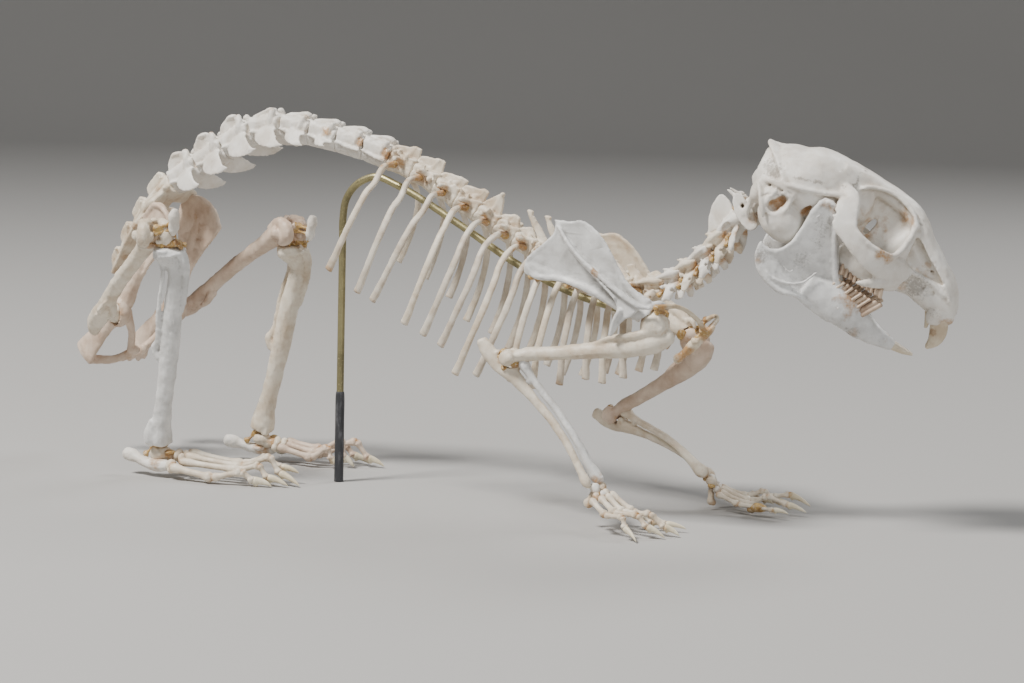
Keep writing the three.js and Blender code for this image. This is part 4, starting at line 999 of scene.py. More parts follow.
def up_wing(share, off, y, thick, broad):
    run = WING_LENGTH * share
    return (
        math.cos(WING_PITCH) * run - math.sin(WING_PITCH) * off, y,
        math.sin(WING_PITCH) * run + math.cos(WING_PITCH) * off, thick, broad,
    )


wing_outline = [
    (0.1, -1.9), (0.35, -1.35), (0.6, -2.0), (0.8, -3.1), (0.95, -4.0), (1.02, -3.7), (1.06, -1.8), (1.1, 1.2),
    (1.05, 3.4), (0.92, 4.6), (0.74, 4.3), (0.6, 3.0), (0.4, 1.9), (0.1, 2.2),
]
for side, side_name in SIDES:
    # the left wing lies flatter to the sacrum, so more of its upper edge shows
    wider = 1.6 if side > 0 else 1
    outline = [up_wing(run, off * wider if off > 2.5 else off, 0, 0, 0)[0:3:2] for run, off in wing_outline]
    parts = [
        flat_bone(outline, 0.7, lambda x, z, s=side: s * (5.7 - 0.03 * z + 0.004 * (x - 8) ** 2), 5),
        bar([up_wing(*row) for row in (
            (0, 0, side * 6.3, 1.6, 2.3), (0.2, 0.1, side * 6, 1.2, 1.6), (0.4, 0.3, side * 5.7, 1.0, 1.5),
            (0.65, 0.8, side * 5.4, 0.65, 1.2), (0.9, 1.6, side * 5.3, 0.5, 0.9),
        )], 14, 16),
        bar([up_wing(*row) for row in (
            (1.0, -3.8, side * 5.5, 0.5, 0.45), (1.08, -0.6, side * 5.6, 0.55, 0.5),
            (1.04, 3 * wider, side * 5.4, 0.6, 0.6), (0.86, 4.5 * wider, side * 5.2, 0.5, 0.5),
        )], 12, 10),
        bar([
            (0.5, side * 6.1, 0.6, 1.3, 2.1), (-4.6, side * 5.9, -3.2, 0.95, 1.6),
            (-8.2, side * 6.1, -6.3, 0.75, 2.3), (-10.8, side * 6.4, -9, 0.7, 2.9),
        ], 14, 16, domed=0.8),
        bar([
            (1, side * 5.6, 0, 1.2, 1.2), (0.2, side * 3.6, -4, 0.65, 0.85), (-3, side * 1.4, -8, 0.75, 0.85),
        ], 12, 12),
        bar([
            (-9.6, side * 5.7, -10, 0.6, 1), (-6.4, side * 3, -9.9, 0.55, 0.85), (-3.4, side * 1.3, -8.7, 0.75, 0.9),
        ], 12, 12),
        bar([(-1.6, side * 0.85, -7.6, 0.6, 0.9), (-6.6, side * 0.85, -9.8, 0.6, 0.9)], 6, 12),
        knob((0.2, side * 6.7, 0.2), (3.1, 1.9, 3.1)),
        knob((-9.8, side * 6.3, -8.4), (1.2, 1.0, 2.6), (0, -35, 0)),
        knob((-4.2, side * 6.0, -1.4), (0.9, 0.6, 0.9)),
    ]
    cuts = [
        knob((0, side * HALF_PELVIS, 0), (2.45, 2.45, 2.45)),
        bar([(-0.6, side * 8, -2.4, 0.6, 0.5), (-1, side * 8, -4, 0.4, 0.3)], 3, 8),
    ]
    hip = HALF_PELVIS * side
    socket = np.array(PELVIS) + hip * np.array(pelvis_seat[2])
    stains = [(*socket, 3.4, 0.7), (-66, 4.8 * side + 1, 46, 2.2, 0.5), (-78.5, 2.4, 19.5, 2.4, 0.5)]
    bone = grown(seated(parts, *pelvis_seat), 0.2, 2, seated(cuts, *pelvis_seat))
    hip_bone = set_bone(f"hip_{side_name}", bone, rosy, stains, 0.1)
    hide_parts(f"hip_bone_{side_name}")

# Hind legs: thigh bone with its round head, kneecap, and the long shin bone with a sharp crest
# in front and the splint bone grown on behind. The knees are held by dried gristle and glue.
cool_white = bone_paint("cool_white_bone", (0.755, 0.75, 0.73), (0.4, 0.385, 0.36), 0.6, 0.95, 0.6)
THIGH_HEAD = 2.05
HIP = {"right": (-77.3, -4.7, 28), "left": (-72.9, 9.2, 27.9)}
KNEE = {"right": (-55.7, -23.3, 45.3), "left": (-44.4, 3.3, 44.9)}
PLATEAU = {"right": (-53.6, -21.4, 42.8), "left": (-45.1, 5.7, 42.0)}
ANKLE = {"right": (-60.6, -13.9, 6), "left": (-54.2, 10.3, 6)}
OUTWARD = {"right": (-0.41, -0.81, -0.41), "left": (0.1, 0.96, 0.1)}
KNEECAP = {"right": (4.2, 0.2, 1.8), "left": (4.5, 0.4, 0.3)}
HIND_TURN = {"right": 4, "left": 22}


def rows_from(base, ways, rows):
    """Bar rows drawn along three ways from a base point."""
    return [(*(np.asarray(base, float) + np.array(row[:3]) @ np.array(ways)), *row[3:]) for row in rows]


knee_crust = np.random.default_rng(5)


def thigh_parts(hip, knee, outward, shin):
    axis = unit(knee - hip)
    hinge = unit(np.cross(axis, shin))
    hinge = hinge if np.dot(hinge, outward) > 0 else -hinge
    front = unit(np.cross(axis, hinge))
    front = front if np.dot(front, shin) < 0 else -front
    long_way = (axis, outward, front)
    knee_way = (hinge, front, axis)

    def at_hip(rows, steps):
        return bar(rows_from(hip, long_way, rows), steps, 10, axis)

    def at_knee(rows, *fine):
        return bar(rows_from(knee, knee_way, rows), *fine)

    shaft = rows_from(hip, long_way, [
        (-2.6, 4.1, -0.9, 0.7, 0.8), (-1.2, 4.5, -0.5, 1.3, 1.4), (1.4, 4.2, 0, 1.9, 1.6), (6, 3.6, 0.3, 1.55, 1.4),
        (15, 2.2, 0.7, 1.4, 1.35),
    ])
    shaft += rows_from(knee, knee_way, [(0, 0.4, -7, 1.6, 1.55), (0, 0.4, -3.4, 2.3, 2.0), (0, 0.3, -1, 2.7, 2.1)])
    parts = [
        bar(shaft, 40, 18, hinge),
        bar(rows_from(
            hip, long_way, [(1.8, 3.6, 0.1, 1.35, 1.3), (0.5, 1.6, 0, 1.05, 1.1), (0, 0.2, 0, 1.3, 1.3)],
        ), 8, 14, axis),
        knob(hip, (THIGH_HEAD,) * 3),
        at_hip([(4, 4.8, 0, 0.9, 0.5), (6.5, 4.9, -0.1, 0.9, 0.45), (9, 4, 0, 0.7, 0.4)], 8),
        at_hip([(7.6, 2.6, -1, 0.9, 0.8), (5.4, 2, -2, 0.8, 0.5), (3.8, 2.4, -1.8, 0.5, 0.4)], 7),
    ]
    for side in (-1, 1):
        parts += [
            at_knee([
                (side * 1.5, -1.2, -1.8, 0.95, 1), (side * 2.05, -1.5, 0, 1.25, 1.45),
                (side * 2.05, -0.5, 1.0, 1.25, 1.5), (side * 1.8, 1.0, 0.7, 1.0, 1.2),
                (side * 1.4, 1.9, -0.8, 0.65, 0.9), (side * 1.3, 1.8, -3, 0.5, 0.6),
            ], 16, 14, hinge),
            at_knee([(side * 2.2, 0, -1.4, 0.9, 0.9), (side * 3.25, -0.2, -0.5, 0.8, 0.9)], 4, 10, axis),
        ]
    # a rough crust round the joint
    for k in range(26):
        around = 6.3 * knee_crust.random()
        side = 4.4 * knee_crust.random() - 2.2
        spot = (side, 2.1 * math.cos(around) * (1 - 0.1 * abs(side)), 0.2 + 1.7 * math.sin(around))
        size = 0.35 + 0.4 * knee_crust.random()
        parts.append(knob(
            rows_from(knee, knee_way, [(*spot, 0)])[0][:3], (size * 1.2, size, size),
            (0, 90 * knee_crust.random(), 0), 10, 7,
        ))
    cuts = [at_knee([(0, -3.2, 0.4, 0.62, 1.2), (0, -1.5, 1.6, 0.6, 0.9), (0, 0.2, 2.6, 0.5, 0.6)], 8, 12, hinge)]
    return parts, cuts, hinge


def shin_parts(plateau, ankle, heading):
    axis = unit(ankle - plateau)
    length = np.linalg.norm(ankle - plateau)
    forward = unit(heading - axis * np.dot(heading, axis))
    hinge = np.cross(forward, axis)
    ways = (axis * length, forward, hinge)

    def on_shin(rows, steps, sides, *form):
        return bar(rows_from(plateau, ways, rows), steps, sides, hinge, *form)

    shaft = [
        (0.012, 0.1, 0, 3.1, 2.5), (0.03, 0.1, 0, 3.35, 2.8), (0.05, 0.5, 0, 2.6, 2.35), (0.08, 1.2, 0, 1.75, 1.75),
        (0.14, 1.7, 0, 1.4, 1.5), (0.3, 1.3, 0, 1.45, 1.75), (0.42, 1.2, 0, 1.5, 1.8), (0.55, 1.0, 0, 1.45, 1.75),
        (0.68, 0.7, 0, 1.3, 1.6), (0.8, 0.4, 0, 1.4, 1.6), (0.9, 0.1, 0, 1.7, 1.85), (0.955, 0, 0, 2.1, 2.2),
        (0.99, 0, 0, 2.2, 2.2),
    ]
    outer = 1 if hinge[1] < 0 else -1
    outer = outer if plateau[1] < 0 else -outer
    parts = [
        on_shin(shaft, 70, 20, 2.1, 0.2),
        on_shin([
            (0.02, 2.3, 0, 1.3, 0.9), (0.07, 3.2, 0, 0.95, 0.9), (0.14, 3.5, 0, 0.55, 0.8), (0.22, 3.3, 0, 0.42, 0.8),
            (0.29, 2.9, 0, 0.42, 0.8), (0.32, 2.5, 0, 0.4, 0.7),
        ], 18, 12),
        # splint bone, free above and grown on from the middle down
        on_shin([
            (0.05, -0.5, outer * 2.0, 0.6, 0.7), (0.11, -0.1, outer * 1.75, 0.38, 0.45),
            (0.3, -0.8, outer * 1.35, 0.38, 0.48), (0.47, -0.9, outer * 0.8, 0.45, 0.7),
            (0.515, -1.7, outer * 0.5, 0.5, 0.7), (0.56, -0.8, outer * 0.4, 0.6, 0.7),
        ], 26, 10),
        on_shin([
            (0.88, -1.0, outer * 1.1, 0.6, 0.8), (0.97, -1.3, outer * 1.8, 0.8, 1.0),
            (1.0, -1.0, outer * 1.7, 0.5, 0.6),
        ], 6, 12),
        on_shin([(0.92, 0.8, -outer * 1, 0.6, 0.9), (1.0, 0.9, -outer * 1.7, 0.6, 0.8)], 6, 12),
    ]
    cuts = []
    for side in (-1, 1):
        parts.append(knob(plateau + axis * 0.5 + hinge * side * 1.75 - forward * 0.3, (1.7, 1.7, 0.55)))
        cuts.append(on_shin([
            (0.07, 1.7, side * 2.9, 0.6, 1.2), (0.13, 1.6, side * 2.5, 0.95, 1.4), (0.24, 1.7, side * 2.3, 0.75, 1.1),
            (0.36, 1.8, side * 2.2, 0.4, 0.6),
        ], 14, 12))
    return parts, cuts, hinge


for sign, side_name in SIDES:
    hip, knee, plateau, ankle = [np.array(joint[side_name], float) for joint in (HIP, KNEE, PLATEAU, ANKLE)]
    shin = unit(ankle - plateau)
    axis = unit(knee - hip)
    outward = np.array(OUTWARD[side_name])
    outward = unit(outward - axis * np.dot(outward, axis))
    parts, cuts, hinge = thigh_parts(hip, knee, outward, shin)
    knee_glue = [(*(knee + shin * 2.6), 2.4, 0.85), (*(knee + shin * 1.5 + hinge * 2.6), 1.5, 0.5), (*hip, 3.2, 0.4)]
    knee_grime = [
        (*(knee + outward * 2.4), 2.6, 0.55), (*(knee + shin * 1.6 + outward * 2.6), 1.8, 0.7),
        (*(hip + outward * 4), 2.6, 0.5),
    ]
    thigh = set_bone(
        f"thigh_{side_name}", grown(parts, 0.2, 1, cuts), ivory if sign < 0 else rosy, knee_glue, 0.13,
        knee_grime,
    )
    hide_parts(f"thigh_bone_{side_name}")
    turn = math.radians(HIND_TURN[side_name])
    parts, cuts, hinge = shin_parts(plateau, ankle, np.array([math.cos(turn), math.sin(turn), 0]))
    shin_glue = [(*(plateau - shin * 0.2), 1.9, 0.7), (*(ankle + (0, 0, 0.3)), 2.2, 0.6)]
    shin_grime = [
        (*(plateau + shin * 1.4), 3.2, 0.6), (*(plateau + shin * 5.5 + hinge * sign * -1.4), 2.6, 0.4),
        (*(ankle + (0, 0, 1.5)), 2.4, 0.4),
    ]
    shin_bone = set_bone(
        f"shin_{side_name}", grown(parts, 0.2, 1, cuts), cool_white if sign < 0 else ivory, shin_glue,
        0.13, shin_grime,
    )
    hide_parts(f"shin_bone_{side_name}")
    cap = knee + KNEECAP[side_name]
    cap_rows = [
        (*(cap + shin * 2.1), 0.5, 0.45), (*(cap + shin * 1.2), 1.0, 0.85), (*(cap - shin * 0.2), 1.15, 0.8),
        (*(cap - shin * 1.3), 1.2, 1.0), (*(cap - shin * 2.2), 0.75, 0.7),
    ]
    kneecap = set_bone(
        f"kneecap_{side_name}", grown([bar(cap_rows, 16, 14, hinge)], 0.18, 2), chalk,
        [(*(cap - (1.6, 0, 0)), 1.3, 0.6)], 0.16,
    )
    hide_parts(f"kneecap_{side_name}")

# Hind paws: heel bone and ankle bones, four long foot bones, and four toes that arch up and
# come down on pale horny claws. Each toe has three bones beyond the long one.
FLOOR_GAP = 0.04
claw_horn = bone_paint("claw_horn", (0.77, 0.7, 0.53), (0.5, 0.4, 0.24), 0.7, 0.6, 0.9, 0.05)


def joint_bone(start, end, thick, waist=0.68, flat=1.0, knuckle=1.15, lift=0.0):
    """A small long bone between two joints, waisted in the middle and knuckled at both ends."""
    start, end = np.asarray(start, float), np.asarray(end, float)
    along = unit(end - start)
    start, end = start + along * 0.12, end - along * 0.12
    length = np.linalg.norm(end - start)
    rows = [
        (*(
            start + along * length * share + (0, 0, lift * 4 * share * (1 - share))
        ), thick * girth, thick * girth * flat)
        for share,
        girth in (
            (0, 0.9), (0.1, 1.05), (0.28, waist * 1.1), (0.55, waist), (0.8, waist * 1.15), (0.93, knuckle),
            (1, 0.95),
        )
    ]
    side = unit(np.cross(along, (0, 0, 1)))
    parts = [bar(rows, 20, 12, side, domed=0.5)]
    for hand in (-1, 1):
        parts.append(knob(
            end - along * thick * 0.6 + side * hand * thick * 0.6 - (0, 0, thick * 0.15), (thick * 0.6,) * 3,
            sides=10, bands=7,
        ))
    return parts


def claw(start, tip, thick):
    start, tip = np.asarray(start, float), np.asarray(tip, float)
    along = unit(tip - start)
    side = unit(np.cross(along, (0, 0, 1)))
    hump = thick * 0.55
    length = np.linalg.norm(tip - start)
    rows = [
        (*(
            start + along * length * share + (0, 0, hump * 4 * share * (1 - share) + drop)
        ), thick * wide, thick * deep)
        for share, wide, deep, drop in (
            (0.02, 0.8, 1.0, 0), (0.14, 0.95, 1.1, 0), (0.3, 0.7, 0.95, 0), (0.55, 0.55, 0.75, 0),
            (0.8, 0.38, 0.48, 0), (1, 0.1, 0.12, 0),
        )
    ]
    return [
        bar(rows, 20, 12, side, domed=0.8),
        knob(
            start + along * length * 0.16 - (0, 0, thick * 0.8), (thick * 0.5, thick * 0.5, thick * 0.4), sides=10,
            bands=7,
        ),
    ]


def set_paw(paw_name, side_name, toes, thick, paint, stain_reach):
    """Toes as rows of joints from the root of the long bone to the tip of the claw."""
    for i, (girth, *joints) in enumerate(toes):
        joints = [np.array(joint, float) for joint in joints]
        bones = [
            joint_bone(a, b, thick * girth * size) for a, b, size in zip(joints[:-2], joints[1:-1], (1, 0.88, 0.85))
        ]
        bones.append(claw(*joints[-2:], thick * girth * 0.8))
        for k, parts in enumerate(bones):
            last = k == len(bones) - 1
            glue = [(*joints[k], stain_reach, 0.8), (*joints[k + 1], stain_reach, 0 if last else 0.7)]
            label = "claw" if last else ("long_bone", "first_bone", "middle_bone")[k]
            made = grown(parts, 0.13, 1, keep=0.6)
            made[0][:, 2] = np.maximum(made[0][:, 2], FLOOR_GAP)
            set_bone(
                f"{paw_name}_{i + 1}_{label}_{side_name}", made, claw_horn if last else paint, glue,
                0.05,
            )


HIND_TOES = {
    "right": [
        (
            1.05, (-56.7, -15.8, 2.3), (-48.3, -15.2, 1.15), (-42.9, -14.0, 2.6), (-40.9, -13.2, 1.0),
            (-37.4, -12.4, 0.25),
        ),
        (
            0.95, (-55.8, -14.2, 3.2), (-44.4, -12.4, 2.5), (-40.6, -11.8, 3.7), (-39.0, -11.5, 1.5),
            (-34.9, -11.0, 0.4),
        ),
        (0.95, (-55.8, -12.5, 4.0), (-45.1, -10.4, 2.7), (-39.5, -9.8, 5.1), (-37.7, -9.6, 2.2), (-33.3, -9.6, 0.3)),
        (0.95, (-56.1, -10.8, 4.4), (-45.9, -8.8, 3.0), (-41.5, -8.0, 4.6), (-38.7, -7.4, 2.8), (-35.2, -6.8, 2.0)),
    ],
    "left": [
        (0.95, (-49.5, 9.0, 3.3), (-42.7, 9.6, 1.8), (-39.7, 10.4, 4.1), (-39.1, 10.6, 1.8), (-37.6, 10.7, 0.25)),
        (0.95, (-49.8, 10.8, 3.8), (-42.9, 11.4, 2.5), (-37.9, 12.4, 5.4), (-37.6, 12.6, 2.0), (-35.6, 13.2, 0.3)),
        (0.95, (-50.0, 12.6, 3.9), (-43.0, 13.4, 3.0), (-36.2, 15.0, 4.9), (-34.2, 15.8, 1.7), (-31.0, 16.6, 0.3)),
        (1.0, (-51.0, 14.2, 2.8), (-43.8, 15.2, 1.6), (-39.6, 16.8, 3.6), (-38.2, 17.4, 1.6), (-35.2, 18.2, 0.25)),
    ],
}
# each ankle bone: place ahead of the joint, to the outside, and up, its half sizes and its turn
ANKLE_BONES = [
    ("heel_bone", [(
        "bar",
        [
            (-6.6, 0.3, 3.7, 1.15, 1.15), (-5.6, 0.4, 3.5, 1.25, 1.2), (-4, 0.6, 3.0, 0.9, 1.0),
            (-1.6, 0.8, 2.3, 1.0, 1.3), (0.6, 1.0, 2.2, 1.2, 1.2), (2.2, 1.2, 2.3, 1.0, 1.0),
        ],
    ),
                   ("knob", (-0.2, -0.6, 2.6), (1.0, 1.2, 0.6))]),
    (
        "ankle_bone",
        [
            ("knob", (0.3, -0.5, 4.3), (1.8, 1.7, 1.3)),
            ("bar", [(0.8, -0.8, 3.9, 1.2, 1.0), (2.6, -1.2, 3.7, 1.0, 0.9)]),
            ("knob", (-0.6, 0.6, 4.2), (1.1, 0.7, 1.3)),
        ],
    ),
    ("boat_bone", [("knob", (3.3, -1.2, 3.9), (0.8, 1.5, 1.15)), ("knob", (3.0, -2.1, 3.0), (0.8, 0.6, 0.8))]),
    ("cube_bone", [("knob", (3.3, 1.3, 2.4), (1.1, 1.1, 1.15)), ("knob", (3.6, 2.0, 1.7), (0.8, 0.5, 0.6))]),
    (
        "wedge_bones",
        [
            ("knob", (4.6, -0.2, 3.6), (0.7, 0.8, 1.0)), ("knob", (4.7, -1.6, 4.0), (0.75, 0.75, 1.0)),
            ("knob", (4.4, -2.6, 3.3), (0.7, 0.5, 0.8)),
        ],
    ),
]
for sign, side_name in SIDES:
    set_paw("hind_toe", side_name, HIND_TOES[side_name], 0.86, ivory if sign < 0 else rosy, 1.0)
    turn = math.radians(HIND_TURN[side_name])
    seat = (
        (ANKLE[side_name][0], ANKLE[side_name][1], 0), (math.cos(turn), math.sin(turn), 0),
        (-math.sin(turn), math.cos(turn), 0), (0, 0, 1),
    )
    for label, lumps in ANKLE_BONES:
        parts = []
        for kind, *shape in lumps:
            if kind == "bar":
                parts.append(bar([(x, sign * out, z, *size) for x, out, z, *size in shape[0]], 18, 14, (0, 0, 1)))
            else:
                (x, out, z), radii = shape
                parts.append(knob((x, sign * out, z), radii, sides=14, bands=9))
        made = grown(seated(parts, *seat), 0.17, 1)
        made[0][:, 2] = np.maximum(made[0][:, 2], FLOOR_GAP)
        spot = made[0].mean(axis=0)
        piece = set_bone(
            f"{label}_{side_name}", made, chalk if label == "heel_bone" else ivory,
            [(spot[0] + 2.2, spot[1], spot[2], 2.4, 0.8)], 0.12,
        )
    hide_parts(f"hind_paw_{side_name}")

# Shoulders: two thin blades of bluish white bone, each stiffened by a raised spine that ends in
# a forward tip and a long hanging hook. Two slim collar bones run in to the amber top of the
# breastbone, which is all of it that is left, set in a lump of old glue.
ARM_HEAD = 2.5
SHOULDER = {"right": (35.1, -10.2, 34.4), "left": (33.5, 10.2, 29.6)}
# outline from the upper border, round the socket and back along the lower border
BLADE = [
    (-17.9, 16.2), (-17.2, 16.4), (-15.8, 16.3), (-13.2, 16.6), (-10.6, 15.2), (-8.6, 12.9), (-6.4, 9.2), (-4.6, 6.4),
    (-2.4, 4.6), (-0.4, 3.4), (-0.8, 0.9), (-2.6, 0.6), (-4.6, 1.7), (-7.4, 3.0), (-11.2, 4.4), (-17.2, 6.2),
    (-22.6, 6.5), (-24.0, 7.6), (-23.2, 9.9), (-19.9, 12.6), (-17.5, 14.2), (-17.4, 15.4),
]
# the broad tail of the blade's spine, with its long hook behind the shoulder
HOOK_PLATE = [
    (-7.4, 7.0), (-6.1, 6.4), (-1.6, 3.5), (-1.9, 2.5), (-2.9, 1.6), (-4.6, 0.5), (-6.2, -1.8), (-6.9, -1.8),
    (-6.1, 0.4), (-5.6, 1.6), (-5.8, 3.4), (-6.8, 5.2),
]
BLADE_LEAN = {"right": 0, "left": -0.12}
BLADE_TALL = {"right": 1, "left": 1.08}
COLLAR = {
    "right": [(36.2, -12.4, 37.6), (38.6, -9, 37.6), (40.2, -5, 35.4), (39.9, -1.0, 33.1)],
    "left": [(34.6, 12.4, 33.2), (37.8, 9, 34.4), (39.6, 5.2, 34.1), (39.9, 1.5, 33.1)],
}
lie_of = {}
for sign, side_name in SIDES:
    joint = np.array(SHOULDER[side_name], float)

    def lie(x, z, joint=joint, sign=sign, bow=1.7 if sign < 0 else -0.6):
        rise = min(max((z - joint[2]) / 16, 0), 1)
        return joint[1] + sign * (0.4 + (bow - 0.4) * rise + 0.3 * math.sin(rise * 5 + x * 0.25))

    lie_of[side_name] = lie

    def on_blade(x, z, proud=0.0):
        x, z = joint[0] + x + BLADE_LEAN[side_name] * z, joint[2] + z * BLADE_TALL[side_name]
        return np.array([x, lie(x, z) + sign * proud, z])

    def rim(rows, steps=16, across=(0, 1, 0)):
        return bar([(*on_blade(x, z, proud), *size) for x, z, proud, *size in rows], steps, 10, across)

    outline = [on_blade(x, z)[0:3:2] for x, z in BLADE]
    parts = [
        flat_bone(outline, 0.5, lie, 5),
        rim([
            (-23.4, 8.6, 0, 0.5), (-22.2, 7.0, 0, 0.6), (-17.0, 6.6, 0, 0.55), (-11, 4.9, 0, 0.65),
            (-5, 2.3, 0, 0.95), (-1.6, 1.4, 0, 1.3),
        ], 22),
        rim([
            (-18.0, 16.4, 0, 0.2), (-16.9, 16.1, 0, 0.4), (-15.4, 16.0, 0, 0.38), (-13.2, 16.2, 0, 0.35),
            (-10.8, 14.9, 0, 0.32), (-8.9, 12.8, 0, 0.3), (-4.8, 6.2, 0, 0.5), (-1.4, 3.5, 0, 1.0),
        ], 24),
        rim([(-17.5, 15.8, 0, 0.34), (-18.0, 14.0, 0, 0.32), (-23.1, 9.6, 0, 0.42)], 10),
        # the spine stands out from the blade and sweeps down to the shoulder
        rim([
            (-17.2, 15.4, 0.2, 0.35, 0.35), (-15.4, 12.9, 0.6, 0.75, 0.3), (-12.4, 9.9, 1.0, 1.1, 0.28),
            (-9.6, 7.7, 1.3, 1.35, 0.28), (-6.9, 5.4, 1.5, 1.5, 0.3), (-5.8, 4.2, 1.5, 1.4, 0.35),
        ], 28),
        rim([
            (-16.6, 15.0, 0.8, 0.3), (-14.9, 13.0, 1.5, 0.34), (-12, 10.3, 2.2, 0.36), (-9.3, 8.4, 2.6, 0.38),
            (-6.3, 6.2, 2.9, 0.42), (-3.6, 4.5, 3.0, 0.42), (-1.4, 3.3, 2.9, 0.42), (0.4, 3.1, 2.6, 0.34),
        ], 36),
        flat_bone(
            [on_blade(x, z)[0:3:2] for x, z in HOOK_PLATE], 0.5, lambda x, z, far=joint[1] + sign * 3.1: far, 5,
        ),
        rim([(-4.8, 2.4, 2.7, 0.45), (-5.9, 0.4, 2.8, 0.42), (-6.6, -1.8, 2.8, 0.26)], 10),
        rim([(-6, 3.6, 0, 0.8, 1.5), (-3, 2.3, 0, 1.15, 1.7), (-1.0, 1.6, 0, 1.6, 1.9)], 8),
        rim([(-0.6, 3.2, -0.6, 0.7), (0.7, 3.5, -1.7, 0.5), (1.3, 2.4, -2.4, 0.3)], 7),
    ]
    cuts = [
        knob(joint, (ARM_HEAD + 0.25,) * 3),
        rim([(-13.6, 13.6, 1.2, 0.9, 0.6), (-9.4, 10.8, 1.4, 0.8, 0.7), (-6, 7.4, 1.5, 0.6, 0.5)], 10),
    ]
    amber = on_blade(-9.6, 8.6, 2.6)
    stains = [(*joint, 4.0, 0.75), (*amber, 1.2, 0.8), (*on_blade(-19, 15.4), 1.6, 0.5)]
    made = grown(parts, 0.17, 2, cuts, 0.4)
    blade = set_bone(
        f"shoulder_blade_{side_name}", made, cool_white if sign < 0 else ivory, stains, 0.09,
    )
    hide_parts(f"shoulder_blade_{side_name}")
    rows = [(*point, size) for point, size in zip(COLLAR[side_name], (0.5, 0.36, 0.4, 0.52))]
    ends = [(*rows[0][:3], 2.2, 1.0), (*rows[-1][:3], 2.4, 1.0)]
    collar = set_bone(f"collar_bone_{side_name}", bar(rows, 30, 12), greasy, ends, 0.06)
    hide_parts(f"collar_bone_{side_name}")

breast_parts = [
    bar([
        (41.2, 0.3, 33.6, 0.5, 0.4), (39.8, 0.3, 32.4, 1.3, 0.75), (37.4, 0.4, 30.2, 1.0, 0.8),
        (34.6, 0.6, 27.4, 0.7, 0.7),
    ], 20, 14),
    bar([(39.9, -0.9, 32.7, 0.6), (39.4, 0.3, 33.0, 0.8), (39.9, 1.4, 32.7, 0.6)], 6, 10, (1, 0, 0)),
    knob((38.4, -0.9, 31.2), (0.8, 0.7, 0.6)), knob((36.6, 1.2, 29.3), (0.7, 0.6, 0.6)),
    knob((35.2, -0.2, 28), (0.9, 0.9, 0.8)),
    flat_bone([(40.2, 32.4), (38.6, 30.0), (36.8, 28.4), (36.2, 28.8), (37.6, 31.2)], 0.5, lambda x, z: 0.3),
]
breast_glue = [(39.6, 0.3, 32.6, 2.2, 1.0), (36, 0.5, 28.8, 2.4, 0.9)]
breastbone = set_bone("breastbone_top", grown(breast_parts, 0.17, 1), greasy, breast_glue, 0.14)
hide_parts("breastbone")

